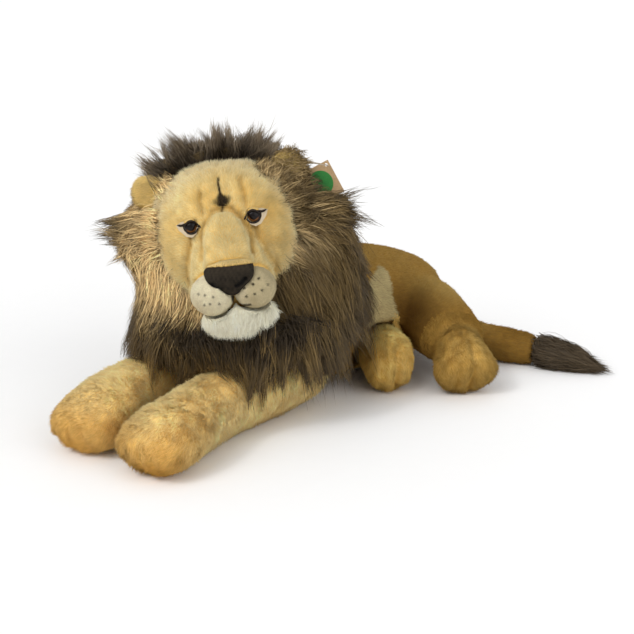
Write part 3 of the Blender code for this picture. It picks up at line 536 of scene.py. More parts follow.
# The mane's outer form, which its hair follows
MANE_NODES = ("mane_left", "mane_right", "mane_nape", "mane_bib", "mane_crest")
shell = form("mane_shell", (*MANE_NODES, "head", "chin", "snout"), "mane_shell")
shell_tree = tree_of(shell)
mane_trees = {node: tree_of(NODES[node]) for node in MANE_NODES}


def nearest_node(points, trees, reach):
    """The index of the tree nearest to each point, or -1, and its distance."""
    best = np.full(len(points), reach)
    which = np.full(len(points), -1)
    for k, tree in enumerate(trees):
        for i, p in enumerate(points):
            found = tree.find_nearest(p, best[i])
            if found[0] is not None and found[3] < best[i]:
                best[i], which[i] = found[3], k
    return which, best


# Body


def ochre(points, normals):
    share = 0.5 + 0.5 * noise(points, 0.05, 40)
    # darker towards the bottom as painted shade, and paler where the pile faces up as painted light
    low = ramp(points[:, 2], 0.16, 0.02) * 0.25
    tip = mix(OCHRE_TIP, TAN_TIP, 0.25 * share + 0.35 * ramp(normals[:, 2], 0.2, 1.0) * share - low)
    return mix(OCHRE_ROOT, TAN_ROOT, share * 0.5), tip


def tan(points, normals):
    share = 0.5 + 0.5 * noise(points, 0.045, 41)
    low = ramp(points[:, 2], 0.06, 0.0)
    return TAN_ROOT, mix(TAN_TIP, OCHRE_TIP, 0.35 * share * share + 0.35 * low)


def leg_tint(points, normals):
    """Pale on the leg, ochre at the front of the paw."""
    share = 0.5 + 0.5 * noise(points, 0.045, 41)
    front = ramp(points[:, 1], -0.430, -0.520) * ramp(points[:, 2], 0.100, 0.055)
    low = 0.25 * ramp(points[:, 2], 0.05, 0.0)
    tip = mix(LEG_TIP, OCHRE_TIP * (1.45, 1.20, 0.95), 0.16 * share * share + 0.68 * front + low)
    return mix(LEG_ROOT, OCHRE_ROOT * 1.7, 0.6 * front + 0.10 * share), tip


GUSSET_TREE = tree_of(NODES["belly_gusset"])
# Where painted shade darkens the hollow before the thigh, and how far it reaches
SHADE_HOLLOW_AT = (0.130, 0.082, 0.112)
SHADE_HOLLOW_RADIUS = 0.058


def body_tint(points, normals):
    root, tip = ochre(points, normals)
    # painted shade in the hollow before the thigh, over the body's tone, which is partly painted shade
    hollow_shade = bell(np.linalg.norm(points - SHADE_HOLLOW_AT, axis=1) / SHADE_HOLLOW_RADIUS)[:, None]
    shaded = (1 - hollow_shade * np.array((0.70, 0.76, 0.84))) * BODY_TONE_AND_SHADE
    _, away = nearest_node(points, [GUSSET_TREE], 0.009)
    pale = 1 - ramp(away, 0.0045, 0.0080)
    return mix(root * shaded, CREAM_ROOT, pale), mix(tip * shaded, CREAM_TIP, pale)


def outside_mane(points, normals):
    return ~inside(shell_tree, points - normals * 0.012, 0.08)


BODY_NODES = ("torso", "haunch_left", "haunch_right", "belly_gusset")
plush("body", BODY_NODES, "body", "body", body_tint, towards((0.1, 1.0, -0.35)), outside_mane, 2)


def paw_shape(obj):
    """Toe creases over the front of the paw."""
    co, n = points_of(obj), normals_of(obj)
    front = co[:, 1].min()
    middle = co[co[:, 1] < front + 0.09][:, 0].mean()
    for toe in (-0.50, 0.05, 0.55):
        x = middle + toe * 0.052
        fade = ramp(co[:, 1], front + 0.045, front + 0.010) * ramp(co[:, 2], 0.075, 0.045)
        co -= n * (0.0045 * fade * bell((co[:, 0] - x) / 0.007))[:, None]
    move_points(obj, co)


for label, out in SIDES:
    node = "foreleg_" + label
    comb = towards((0.25 * out, -1.0, -0.45))
    plush(node, (node,), node, "foreleg", leg_tint, comb, outside_mane, 3 + out, paw_shape)


def make_foot(label, way, bright):
    """A hind foot: ochre plush, paler over the toes, with creases between them."""
    node = "hind_foot_" + label
    ahead = unit(np.array((way[0], way[1], 0.0)))
    aside = np.array((-ahead[1], ahead[0], 0.0))

    def shape(obj):
        co, n = points_of(obj), normals_of(obj)
        reach = (co @ ahead).max()
        middle = (co @ aside).mean()
        for toe, depth in ((-0.45, 0.003), (0.25, 0.0065)):
            fade = ramp(co @ ahead, reach - 0.055, reach - 0.015)
            off = co @ aside - middle - toe * 0.036
            co -= n * (depth * fade * bell(off / 0.0070))[:, None]
        move_points(obj, co)

    def tint(points, normals):
        root, tip = ochre(points, normals)
        tip = mix(tip, TAN_TIP, 0.25 * ramp(points @ ahead, 0.10, 0.16))
        # the foot's tone, painted light on the right foot
        return np.clip(root * bright, 0, BRIGHTEST), np.clip(tip * bright, 0, BRIGHTEST)

    plush(node, (node,), node, "hind_foot", tint, towards(way), outside_mane, 7 + len(label), shape)


def make_cuff(label, way, upper, bright):
    """The plush that runs on over the crease, from the thigh to the foot."""
    node = "hind_foot_" + label
    thigh, foot = tree_of(NODES[upper]), tree_of(NODES[node])
    foot_points = points_of(NODES[node])
    near = np.array([thigh.find_nearest(v)[3] for v in foot_points])
    seam = foot_points[near < near.min() + 0.002].mean(0)
    run = unit(foot_points.mean(0) - seam)
    cuff = form("cuff_" + label, (upper, node), "cuff")
    bm = bmesh.new()
    bm.from_mesh(cuff.data)
    far = []
    for v in bm.verts:
        off = (np.array(v.co) - seam) @ run
        if abs(off) > 0.024 or max(tree.find_nearest(v.co)[3] for tree in (thigh, foot)) > 0.026:
            far.append(v)
    bmesh.ops.delete(bm, geom=far, context="VERTS")
    bm.to_mesh(cuff.data)
    bm.free()

    def tint(points, normals):
        root, tip = ochre(points, normals)
        # from the body's tone and painted shade to the foot's tone, painted light on the right foot
        tone = mix(BODY_TONE_AND_SHADE, bright, ramp((points - seam) @ run, -0.014, 0.014))
        return root * tone, np.clip(tip * tone, 0, BRIGHTEST)

    back(cuff, tint)
    ends = ("body", node, tuple(seam - run * 0.018), tuple(seam + run * 0.018))
    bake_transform(cuff)
    seed = 15 + len(label)
    pile("cuff_" + label + "_pile", cuff, ends, "plush_tan", "cuff", towards(way), tint, outside_mane, seed)


# Hind feet: the way the toes point, the solid above the crease, the foot's tone, which on the right foot is
# painted light, as that foot lies in the mane's shadow
for label, way, upper, tone in (
    ("left", (0.77, -0.64, -0.6), "haunch_left", (0.84, 0.78, 0.64)),
    ("right", (0.74, -0.67, -0.6), "torso", (1.45, 1.48, 1.48)),
):
    make_foot(label, way, np.array(tone))
    make_cuff(label, way, upper, np.array(tone))


def tail_tint(points, normals):
    root, tip = ochre(points, normals)
    return root * 0.6, tip * (0.58, 0.48, 0.32)


plush("tail", ("tail",), "tail", "tail", tail_tint, towards((0.98, 0.17, -0.1)), seed=21)


# Long hair in locks

# The body and legs that the hair lies on, with their boxes
RESTING = [
    (tree_of(NODES[node]), *(np.array(corner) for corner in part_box(node)))
    for node in ("torso", "foreleg_left", "foreleg_right", "haunch_right", "hind_foot_right")
]


def lift_off(points, room):
    """Points that lie in a form, or nearer than the room, are moved out of it."""
    flat = points.reshape(-1, 3)
    for tree, low, high in RESTING:
        for i in np.where(((flat > low - room) & (flat < high + room)).all(1))[0]:
            place, face, _, _ = tree.find_nearest(flat[i])
            side = (Vector(flat[i]) - place).dot(face)
            if -0.035 < side < room:
                flat[i] += np.array(face) * (room - side)
    return flat.reshape(points.shape)


def lock_paths(r, base, out, size, flow, loose, tree, depth, lift, wild, layers, seed):
    """Each lock's path: it follows the flow over a form, and then stands free of it."""
    own = r.normal(0, wild, (len(base), 3))
    layer = r.uniform(0, layers, len(base))
    at = base - out * depth * r.uniform(0.6, 1.3, (len(base), 1))
    guide = np.empty((len(base), RINGS, 3))
    outs = np.empty((len(base), RINGS, 3))
    guide[:, 0], outs[:, 0] = at, out
    normal = out.copy()
    for k in range(1, RINGS):
        t = k / (RINGS - 1)
        way = unit(flow(at) + own + noise3(at, 0.045, seed + k // 3) * wild * 1.2)
        along = (way * normal).sum(-1, keepdims=True)
        held = np.where((t < loose)[:, None], 0.92 * (1 - ramp(along, 0.35, 0.80)), 0.15)
        way = way - normal * along * held
        step = unit(unit(way) + normal * lift * (1 - t))
        at = at + step * (size / (RINGS - 1))[:, None]
        for i in np.where((t < loose) & (along[:, 0] < 0.6))[0]:
            target = depth * (1 - t / loose[i]) * 0.8 + 0.002 - layer[i] * min(1.0, 2 * t)
            place, face, _, _ = tree.find_nearest(at[i])
            side = (Vector(at[i]) - place).dot(face)
            if side > -target:
                at[i] = at[i] - np.array(face) * (side + target) * 0.85
            normal[i] = face
        at = lift_off(at, 0.006)
        guide[:, k], outs[:, k] = at, normal
    return guide, outs


def strand_paths(r, guide, outs, strands, spread, pull, wave, stray):
    """Strands drawn together towards their lock's tip, and the lock that each belongs to."""
    locks = len(guide)
    owner = r.integers(0, locks, strands)
    t = np.linspace(0, 1, RINGS)[None, :, None]
    aside = r.normal(0, spread, (strands, 3)) * np.where(r.uniform(size=(strands, 1)) < 0.12, 1.9, 1.0)
    aside -= outs[owner, 0] * (aside * outs[owner, 0]).sum(-1, keepdims=True) * 0.4
    curl = r.normal(0, wave, (strands, 3)) + r.normal(0, wave, (locks, 3))[owner]
    stretch = r.uniform(0.74, 1.06, (strands, 1, 1))
    stretch = stretch * np.where(r.uniform(size=(strands, 1, 1)) < stray, 1.28, 1.0)
    middle = guide[owner]
    first = middle[:, :1]
    paths = first + (middle - first) * stretch + aside[:, None, :] * (1 - pull * t)
    return paths + curl[:, None, :] * np.sin(t * 4.6), owner


def grow_locks(
    name, roots, normals, flow, body, slot, tint, locks, strands, length, width, tree, depth, free,
    spread=0.006, pull=0.62, lift=0.25, wild=0.10, vary=(0.78, 1.12), wave=0.0028, layers=0.0,
    stray=0.0, shaped=False, drop=None, seed=5,
):
    """Long hair in locks over a form."""
    r = np.random.default_rng(seed)
    locks = min(locks, len(roots))
    picked = r.choice(len(roots), locks, replace=False)
    base, out = roots[picked], normals[picked]
    size = length(base, out) * r.uniform(*vary, locks)
    guide, outs = lock_paths(r, base, out, size, flow, free(base), tree, depth, lift, wild, layers, seed)
    paths, owner = strand_paths(r, guide, outs, strands, spread, pull, wave, stray)
    if drop is not None:
        kept = ~drop(paths)
        paths, owner = paths[kept], owner[kept]
    strands = len(paths)
    if shaped:
        paths = waist(paths)
    paths = lift_off(paths, 0.003)
    paths[..., 2] = np.maximum(paths[..., 2], 0.001)
    colours = tint(paths, np.linspace(0, 1, RINGS)[None, :], r.normal(0, 1, (strands, 1)), owner)
    outward = unit(outs[owner].mean(1) + r.normal(0, 0.12, (strands, 3)))
    widths = width * r.uniform(0.7, 1.25, strands)
    obj = ribbons(name, paths, widths, outward, np.clip(colours, DARKEST, BRIGHTEST))
    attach(obj, body)


def away_from_face(points):
    at = local(points)
    at[:, 1] = 0
    return unit(at) @ HEAD_TURN.T


def mane_flow(points):
    """Away from the face, and down the more the lower it is."""
    at = local(points)
    fall = ramp(at[:, 2], 0.05, -0.10)[:, None]
    rear = ramp(at[:, 1], 0.00, 0.12)[:, None]
    far_side = ramp(at[:, 0], -0.02, -0.09)[:, None]
    away = away_from_face(points) * (1.0 - (0.40 + 0.35 * far_side) * fall)
    return away + DOWN * (0.14 + (0.90 + 0.25 * far_side) * fall + 0.3 * rear) + BACK * (0.08 + 0.35 * rear)


def lock_noise(owner, seed):
    return np.random.default_rng(seed).normal(0, 1, owner.max() + 1)[owner][:, None]


def streak(owner, seed, share):
    return (np.random.default_rng(seed).uniform(0, 1, owner.max() + 1)[owner] < share)[:, None]


def mane_tint(paths, t, own, owner):
    """Golden by the face, brown further out, dark at the tips, in streaks; painted light on the lion's right,
    towards the key lamp, and painted shade at the roots.
    """
    at = local_paths(paths)
    away = np.hypot(at[..., 0], at[..., 2] * 0.95)
    height = at[..., 2]
    band = away + 0.008 * own + 0.016 * lock_noise(owner, 3)
    near_side = ramp(at[..., 0], -0.03, 0.05)
    golden = 1 - ramp(band, 0.135 - 0.022 * near_side, 0.205 - 0.055 * near_side)
    streaks = (0.65 - 0.30 * near_side) * streak(owner, 9, 0.30) * (1 - ramp(t, 0.50, 0.90))
    golden = np.maximum(golden, streaks)
    edge = height + 0.010 * own + 0.014 * lock_noise(owner, 4)
    golden = golden * (1 - 0.85 * ramp(at[..., 1], 0.02, 0.09))
    golden = golden * ramp(edge, -0.135 + 0.045 * near_side, -0.080 + 0.065 * near_side)
    crown = ramp(height, 0.055, 0.085) * (away < 0.2) * (1 - ramp(at[..., 1], 0.01, 0.05))
    golden = np.maximum(golden, (0.8 - 0.62 * near_side) * crown * (0.6 + 0.4 * streak(owner, 8, 0.5)))
    # painted light on the lion's right, the side towards the key lamp
    painted_light = (1.55 - 0.65 * near_side)[..., None]
    colour = mix(MANE_BROWN, np.clip(MANE_TAN * painted_light, 0, BRIGHTEST), golden)
    colour = mix(colour, DARK_TIP, ramp(t + 0.08 * own, 0.60, 0.95) * (0.45 + 0.5 * ramp(away, 0.125, 0.165)))
    # painted shade at the roots, by the face
    colour = mix(colour, DARK * 1.5, (1 - ramp(t, 0.0, 0.25)) * 0.8)
    return colour * (1 + 0.11 * own + 0.17 * lock_noise(owner, 6))[..., None]


def dark_tint(_, t, own, owner):
    """Dark brown pile with a few lighter streaks."""
    light = ramp(t, 0.25, 0.6) * (1 - ramp(t, 0.80, 1.0)) * (0.36 + 0.64 * streak(owner, 12, 0.40))
    colour = mix(DARK * 1.5, MANE_BROWN * 1.3, light)
    return colour * (1 + 0.16 * own + 0.12 * lock_noise(owner, 14))[..., None]


mane_roots, mane_normals = scatter(shell, 60000, 31)
region, _ = nearest_node(mane_roots, list(mane_trees.values()), 0.010)
under = mane_normals[:, 2] < -0.75
region[under & (mane_roots[:, 2] < 0.125)] = -1


# A dark backing under the long pile, so that no gap shows through it
dress(
    "mane_backing", MANE_NODES, "head", "mane_backing", plain(MANE_BROWN * 0.5),
    lambda obj: move_points(obj, waist(points_of(obj))), ("head",),
)


def hair_length(points, normals):
    """Short by the ears and where it stands off the sides, longest where it falls past the cheeks."""
    height = local(points)[:, 2]
    aside = (normals * away_from_face(points)).sum(-1)
    low = ramp(height, 0.02, -0.09)
    return (0.064 + 0.040 * low) * (1 - (0.50 - 0.25 * low) * ramp(aside, 0.35, 0.85))


def hair_hold(points):
    """How far along its length a lock lies on the mane's form before it stands free."""
    at = local(points)
    return 0.80 - 0.22 * ramp(at[:, 2], 0.02, -0.09) * (1 - 0.8 * ramp(at[:, 0], -0.02, -0.09))


# The hang tag's card: half its edge, its middle, and where the mane covers it, in the head's frame
CARD_HALF = 0.031
CARD_MIDDLE = (0.1576, 0.0497)
CARD_COVER = (0.1479, 0.0760)

# Sides in the head's frame, and the height above which a strand would stand over the ears and crest
SKYLINE = (
    (-0.160, -0.130, -0.100, -0.099, 0.085, 0.121, 0.145, 0.185),
    (0.060, 0.100, 0.125, 0.134, 0.134, 0.116, 0.090, 0.046),
)
RIGHT_EDGE = -0.2295
TOP_EDGE = 0.4695


def over_card(paths):
    """Strands that would hide the half of the hang tag that stands clear of the mane."""
    at = local_paths(paths)
    beyond = (at[..., 0] - CARD_COVER[0]) * 0.833 + (at[..., 2] - CARD_COVER[1]) * 0.553
    side, height = at[..., 0] - CARD_MIDDLE[0], at[..., 2] - CARD_MIDDLE[1]
    u = side * 0.951 - height * 0.309
    v = side * 0.309 + height * 0.951
    over = (beyond > 0.0015) & (np.abs(u) < CARD_HALF) & (np.abs(v) < CARD_HALF) & (at[..., 1] < 0.07)
    return over.any(1)


def unwanted(paths):
    """Strands over the card, those that would stand behind the crest, and those above the ears."""
    top = local_paths(paths)
    back = 0.018 * ramp(top[..., 1], 0.005, 0.035) * (1 - ramp(np.abs(top[..., 0]), 0.045, 0.075))
    above = back + np.interp(top[..., 0], *SKYLINE)
    return over_card(paths) | (top[..., 2] > above).any(1) | (paths[..., 0] < RIGHT_EDGE).any(1)


# The mane: node, tint, locks, strands, seed, slot, how far strands draw together, how wild, lengths, strays
for node, tint, locks, strands, seed, slot, pull, wild, vary, stray in (
    ("mane_left", mane_tint, 950, 25000, 51, "pile_brown", 0.70, 0.13, (0.66, 1.22), 0.08),
    ("mane_right", mane_tint, 800, 20000, 52, "pile_brown", 0.70, 0.14, (0.66, 1.20), 0.08),
    ("mane_nape", mane_tint, 450, 10000, 53, "pile_brown", 0.66, 0.11, (0.78, 1.15), 0.06),
    ("mane_bib", dark_tint, 620, 18000, 54, "pile_dark", 0.80, 0.15, (0.55, 1.18), 0.04),
):
    held = region == MANE_NODES.index(node)
    grow_locks(
        node + "_hair", mane_roots[held], mane_normals[held], mane_flow, "head", slot, tint, locks, strands,
        hair_length, MANE_WIDTH, shell_tree, 0.016, hair_hold, spread=0.0070, pull=pull, wild=wild, vary=vary,
        wave=0.0020, layers=0.010, stray=stray, shaped=True, drop=unwanted, seed=seed,
    )


CROWN_TREE = tree_of(NODES["head"])


def brow_roots(turn, back):
    """Roots on the head at turns from its crown towards a side, and their outward ways."""
    start = np.stack([np.sin(turn) * 0.20, back, np.cos(turn) * 0.20], 1) @ HEAD_TURN.T + HEAD_AT
    centre = np.stack([0 * turn, back, 0 * turn], 1) @ HEAD_TURN.T + HEAD_AT
    found = [CROWN_TREE.ray_cast(a, b - a)[0] for a, b in zip(start, centre)]
    at = [a if place is None else np.array(place) for a, place in zip(start, found)]
    return np.array(at), unit(start - centre)


# Crest: a fan of standing locks along the edge of the brow
def crest_flow(points):
    at = local(points)
    fan = np.stack([at[:, 0] * 7.5, 0.10 + at[:, 1] * 6.0, np.full(len(at), 1.0)], 1)
    return fan @ HEAD_TURN.T


def crest_length(points, _):
    """Two tall groups with a dip between them, and short at both ends."""
    x = local(points)[:, 0]
    return 0.067 - 0.018 * bell((x + 0.004) / 0.014) - 0.020 * ramp(np.abs(x + 0.006), 0.055, 0.090)


def crest_tint(_, t, own, owner):
    """Dark at the foot, greyer brown towards the tips."""
    colour = mix(DARK * 1.2, CREST_GREY, ramp(t, 0.25, 1.0) * 0.9)
    return colour * (1 + 0.16 * own + 0.14 * lock_noise(owner, 14))[..., None]


def crest_roots(count, seed):
    r = np.random.default_rng(seed)
    turn = np.radians(r.uniform(-50, 42, count))
    return brow_roots(turn, r.uniform(-0.010, 0.022, count))


grow_locks(
    "mane_crest_hair", *crest_roots(700, 60), crest_flow, "head", "pile_dark", crest_tint, 150, 6600,
    crest_length, 0.0007, CROWN_TREE, 0.004, even(0.0), spread=0.0070, pull=0.84, lift=0.1, wild=0.23,
    vary=(0.64, 1.16), wave=0.0022, stray=0.05, drop=lambda paths: (paths[..., 2] > TOP_EDGE).any(1), seed=61,
)


# Fringe: hair that leaves the edge of the face before the ears and lies partly over them
def fringe_roots(side, count, seed):
    r = np.random.default_rng(seed)
    turn = r.uniform(36, 94, count)
    if side < 0:
        turn = np.where((turn > 47) & (turn < 62), turn + 18, turn)
    return brow_roots(np.radians(turn) * side, r.uniform(-0.040, -0.008, count))


def fringe_flow(points):
    return away_from_face(points) + DOWN * 0.15 + BACK * 0.25


def fringe_length(points, _):
    """Short over the ears, longer beside the eyes."""
    at = local(points)
    return 0.024 + 0.030 * ramp(np.degrees(np.arctan2(np.abs(at[:, 0]), at[:, 2])), 50, 82)


for label, side, locks, strands in (("left", 1, 130, 3600), ("right", -1, 80, 2200)):
    grow_locks(
        "mane_fringe_" + label + "_hair", *fringe_roots(side, 900, 64 + side), fringe_flow, "head",
        "pile_brown", mane_tint, locks, strands, fringe_length, MANE_WIDTH, CROWN_TREE, 0.003, even(0.0),
        pull=0.66, lift=0.05, wild=0.16, vary=(0.6, 1.15), wave=0.0015, drop=unwanted, seed=66 + side,
    )


# Tail tuft: straight shiny hair drawn to a point
def tuft_tint(_, t, own, owner):
    return mix(DARK * 1.5, DARK_TIP * 2.0, 0.35 + 0.4 * t) * (1 + 0.2 * own)[..., None]


dress("tuft_backing", ("tail_tuft",), "tail", "tuft", plain(DARK))
tuft_form = form("tuft_form", ("tail_tuft",), "tuft_form")
tuft_roots, tuft_normals = scatter(tuft_form, 200000, 71)
tuft_low, tuft_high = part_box("tail_tuft")
near = tuft_roots[:, 0] < tuft_low.x + 0.62 * (tuft_high.x - tuft_low.x)
grow_locks(
    "tail_tuft_hair", tuft_roots[near], tuft_normals[near], towards((0.97, 0.24, -0.10)), "tail", "pile_dark",
    tuft_tint, 240, 5200, even(0.068), 0.0010, tree_of(tuft_form), 0.004, even(0.95), spread=0.004, pull=0.6,
    lift=0.05, wild=0.05, seed=72,
)
bpy.data.objects.remove(tuft_form)


# Head

# Creases of the face in head-frame millimetres: side and height
CREASES = (
    (((4, 48), (-12, 42), (-24, 29), (-33, 6), (-37, -22)), 0.0062, 0.0045),
    (((4, 48), (20, 42), (31, 24), (38, 4), (38, -24)), 0.0070, 0.0045),
    (((-50, 12), (-55, -4), (-61, -24), (-64, -44), (-64, -62)), 0.0070, 0.0052),
    (((46, 12), (51, -10), (58, -34), (66, -56), (66, -78)), 0.0085, 0.0054),
    (((-25, 74), (-28, 60), (-26, 43)), 0.0050, 0.0055),
    (((38, 82), (40, 62), (39, 43)), 0.0050, 0.0055),
    (((5, 86), (4, 68), (5, 50)), 0.0040, 0.0045),
)


def eye_centre(label):
    low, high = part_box("eye_" + label)
    return local(np.array((low + high) / 2)[None])[0]


EYE_AT = {label: eye_centre(label) for label, _ in SIDES}
EYE_RADIUS = 0.0105

# Swellings of the face: side and height in millimetres, radius in millimetres, how proud in metres
SWELLINGS = ((-84, -8, 30, 0.004), (84, -8, 30, 0.004), (-44, 62, 22, 0.003), (52, 60, 22, 0.003))

# Painted shade in ochre on the face, on the brow and the cheeks: side, height and radius in millimetres, and
# the share of ochre
OCHRE_SHADE_PLACES = (
    (-66, 30, 22, 0.55), (66, 30, 22, 0.55), (-28, 65, 15, 0.65), (41, 62, 15, 0.65), (-88, -30, 24, 0.25),
    (88, -30, 24, 0.35),
)


def side_and_height(at):
    """Side and height in millimetres, of points in the head's frame."""
    return at[:, [0, 2]] * MM


def face_shape(obj):
    co, n = points_of(obj), normals_of(obj)
    at = local(co)
    front = ramp(-at[:, 1], 0.045, 0.075)
    flat = side_and_height(at)
    for line, depth, width in CREASES:
        away = polyline_distance(flat, line) / 1000
        co = co - n * (front * depth * bell(away / width))[:, None]
    # the cheeks and the brow stand a little proud of the creases
    for x, z, radius, height in SWELLINGS:
        away = np.linalg.norm(flat - (x, z), axis=1)
        co = co + n * (front * height * bell(away / radius))[:, None]
    # the brow overhangs each eye
    for label, side in SIDES:
        place = EYE_AT[label]
        u, v = (at[:, 0] - place[0]) * side / EYE_RADIUS, (at[:, 2] - place[2]) / EYE_RADIUS
        brow = ramp(v, 0.70, 1.15) * (1 - ramp(v, 1.6, 3.0)) * bell(u / 1.7) * front
        co = co - np.outer(brow * 0.0040, BACK) - np.outer(brow * 0.0006, CROWN)
    move_points(obj, co)


def face_tint(points, normals):
    at = local(points)
    share = 0.5 + 0.5 * noise(points, 0.035, 44)
    tip = mix(FACE_TIP, OCHRE_TIP * 1.15, 0.45 * share * share)
    # paler on the bridge's top and at the cheeks' edge, painted shade in ochre beside the eyes
    flat = side_and_height(at)
    for x, z, radius, amount in OCHRE_SHADE_PLACES:
        tip = mix(tip, OCHRE_TIP * 1.1, amount * bell(np.linalg.norm(flat - (x, z), axis=1) / radius))
    crease = np.full(len(points), 9.0)
    for line, _, _ in CREASES[:6]:
        crease = np.minimum(crease, polyline_distance(flat, line))
    # painted shade in ochre along the creases
    tip = mix(tip, OCHRE_ROOT * 1.2, 0.68 * bell(crease / 3.4) * ramp(-at[:, 1], 0.04, 0.07))
    # brow mark: a dark streak that widens at its foot
    mark = polyline_distance(flat, ((3.5, 88), (3.5, 72), (5.5, 58), (5, 46)))
    wide = (2.8 + 13.0 * bell((flat[:, 1] - 57) / 7.0)) * (1 + 0.15 * noise(points, 0.005, 49))
    dark = (1 - ramp(mark, wide * 0.38, wide * 1.20)) * ramp(-at[:, 1], 0.04, 0.06)
    tip = tip * (1 - 0.22 * bell((flat[:, 0] - 1) / 30) * (1 - ramp(flat[:, 1], 20, 60)))[:, None]
    tip = mix(tip, BROW_MARK, dark * 0.95)
    rim = ramp(np.hypot(at[:, 0], at[:, 2]), 0.085, 0.115)
    tip = mix(tip, FACE_RIM, 0.8 * rim * (1 - dark))
    return mix(TAN_ROOT * (1.0, 0.94, 0.85), DARK * 0.7, dark), tip


def face_comb(points, normals):
    """Up the bridge and brow, and outwards over the cheeks."""
    at = local(points)
    way = np.stack([at[:, 0] * 9.0, np.full(len(at), 0.6), np.full(len(at), 0.45)], 1)
    return way @ HEAD_TURN.T


def off_face_parts(points, normals):
    at = local(points)
    held = at[:, 1] < 0.035
    for label, out in SIDES:
        off = at - EYE_AT[label]
        u, v = off[:, 0] * out / EYE_RADIUS, off[:, 2] / EYE_RADIUS
        held &= np.hypot(u, np.where(v > 0, v / 0.82, v)) > 1.10
        held &= ~((u > -0.95) & (u < 1.75) & (v > -1.30) & (v < 0.25) & (v > -1.55 + 0.40 * np.abs(u - 0.3)))
    which, _ = nearest_node(points, SOFT_FACE, 0.004)
    return held & (which < 0)


SOFT_FACE = [tree_of(NODES[n]) for n in ("whisker_pad_left", "whisker_pad_right", "nose", "chin")]
HEAD_NODES = ("head", "snout", "nose_bridge")


def face_length(points):
    """Short by the eyes and the nose, and longer towards the face's edge."""
    at = local(points)
    size = 0.0062 + 0.0058 * ramp(np.hypot(at[:, 0], at[:, 2]), 0.065, 0.115)
    for centre in EYE_AT.values():
        off = at - centre
        size = size * (1 - 0.45 * bell(np.hypot(off[:, 0], off[:, 2]) / 0.020))
    return size


head_skin = plush(
    "head", HEAD_NODES, "head", "head", face_tint, face_comb, off_face_parts, 81, face_shape,
    length=face_length,
)

# Whisker pads: short velour with dark dots, side and height in millimetres
DOTS = (
    (40.5, -59.6), (32.1, -65.1), (19.3, -69.0), (42.8, -76.0), (31.9, -79.3), (20.1, -81.2), (51.9, -70.8),
    (-49.1, -66.0), (-40.4, -68.6), (-29.2, -73.4), (-43.9, -83.1), (-35.5, -82.9), (-22.7, -85.5),
)


# Mouth: a dark seam down from the nose, and the gap along the pads' foot, where the pads darken as painted
# shade
MOUTH = (((-3, -70), (-3.5, -96)), ((-12, -98), (0, -96), (22, -95)))


def pad_tint(points, normals):
    flat = side_and_height(local(points))
    # painted shade: the pad on the lion's left is darker and warmer
    pad_shade = 1 - 0.32 * ramp(flat[:, 0], 5, 30)[:, None] * np.array((0.9, 1.02, 1.30))
    tip = PAD_TIP * (0.94 + 0.06 * noise(points, 0.02, 46)[:, None]) * pad_shade
    root = PAD_TIP * 0.75 * pad_shade
    for k, dot in enumerate(DOTS):
        faint = 0.95 if dot[0] > 0 and k < 6 else 0.65
        spot = (1 - ramp(np.linalg.norm(flat - dot, axis=1), 1.3, 2.6)) * faint
        tip, root = mix(tip, DARK_TIP * 0.6, spot), mix(root, DARK, spot)
    mouth = np.minimum(*(polyline_distance(flat, line) for line in MOUTH))
    shade = 1 - ramp(mouth, 0.8, 3.2)
    return mix(root, DARK, shade), mix(tip, DARK_TIP, shade * 0.9)


for label, _ in SIDES:
    node = "whisker_pad_" + label
    pad = dress(node + "_velour", (node,), "head", "pad", pad_tint)
    comb = towards(BACK + DOWN * 0.6)
    pile(node + "_pile", pad, "head", "plush_cream", "pad", comb, pad_tint, seed=90 + len(label))

white = plain(WHITE_ROOT, WHITE_TIP)
comb = towards(DOWN * 0.9 - BACK * 0.5)
plush("chin", ("chin",), "head", "chin", white, comb, seed=95, slot="plush_cream", press=-BACK * 1.1)


def ear_tint(_, t, own, owner):
    """Tan hair of the ears, browner towards the tips."""
    brown = 0.35 + 0.6 * ramp(t, 0.3, 1.0) * streak(owner, 21, 0.7)
    colour = mix(MANE_TAN * 0.75, MANE_BROWN * 1.2, brown)
    return colour * (1 + 0.12 * own + 0.15 * lock_noise(owner, 22))[..., None]


def tan_ear(points, normals):
    root, tip = tan(points, normals)
    return root * 0.8, tip * (0.95, 0.90, 0.85)


def brown_ear(points, normals):
    root, tip = tan(points, normals)
    return root * 0.45, mix(tip * (0.40, 0.36, 0.28), TAN_TIP, 0.15 + 0.25 * noise(points, 0.012, 47))


for label, out in SIDES:
    node = "ear_" + label
    ear = dress(node + "_plush", (node,), "head", "ear", tan)
    comb = towards(SIDE * out * 0.8 + CROWN * 0.1 + BACK * 0.3)
    tint = tan_ear if out < 0 else brown_ear
    pile(node + "_pile", ear, "head", "plush_tan", "ear", comb, tint, seed=97 + out)

ear_form = form("ear_form", ("ear_left",), "ear_form")
grow_locks(
    "ear_left_hair", *scatter(ear_form, 400000, 111), towards(SIDE * 0.9 + DOWN * 0.1 + BACK * 0.2), "head",
    "plush_tan", ear_tint, 90, 2200, even(0.022), MANE_WIDTH, tree_of(ear_form), 0.003, even(0.8),
    spread=0.004, pull=0.8, lift=0.05, wild=0.15, vary=(0.6, 1.2), drop=over_card, seed=113,
)
bpy.data.objects.remove(ear_form)


# Nose
NOSTRILS = (((-28, -55), (-22, -61), (-16, -64)), ((8, -63), (15, -60), (22, -55)))


def nose_tint(points, normals):
    """Dark suede, with painted shade inside the nostrils."""
    flat = side_and_height(local(points))
    light = 1 + 0.30 * noise(points, 0.0022, 48) + 0.45 * ramp(flat[:, 1], -52, -36)
    tone = NOSE_TONE * light[:, None]
    for hole in NOSTRILS:
        tone = mix(tone, DARK * 0.12, 1 - ramp(polyline_distance(flat, hole), 2.4, 4.4))
    return tone, tone


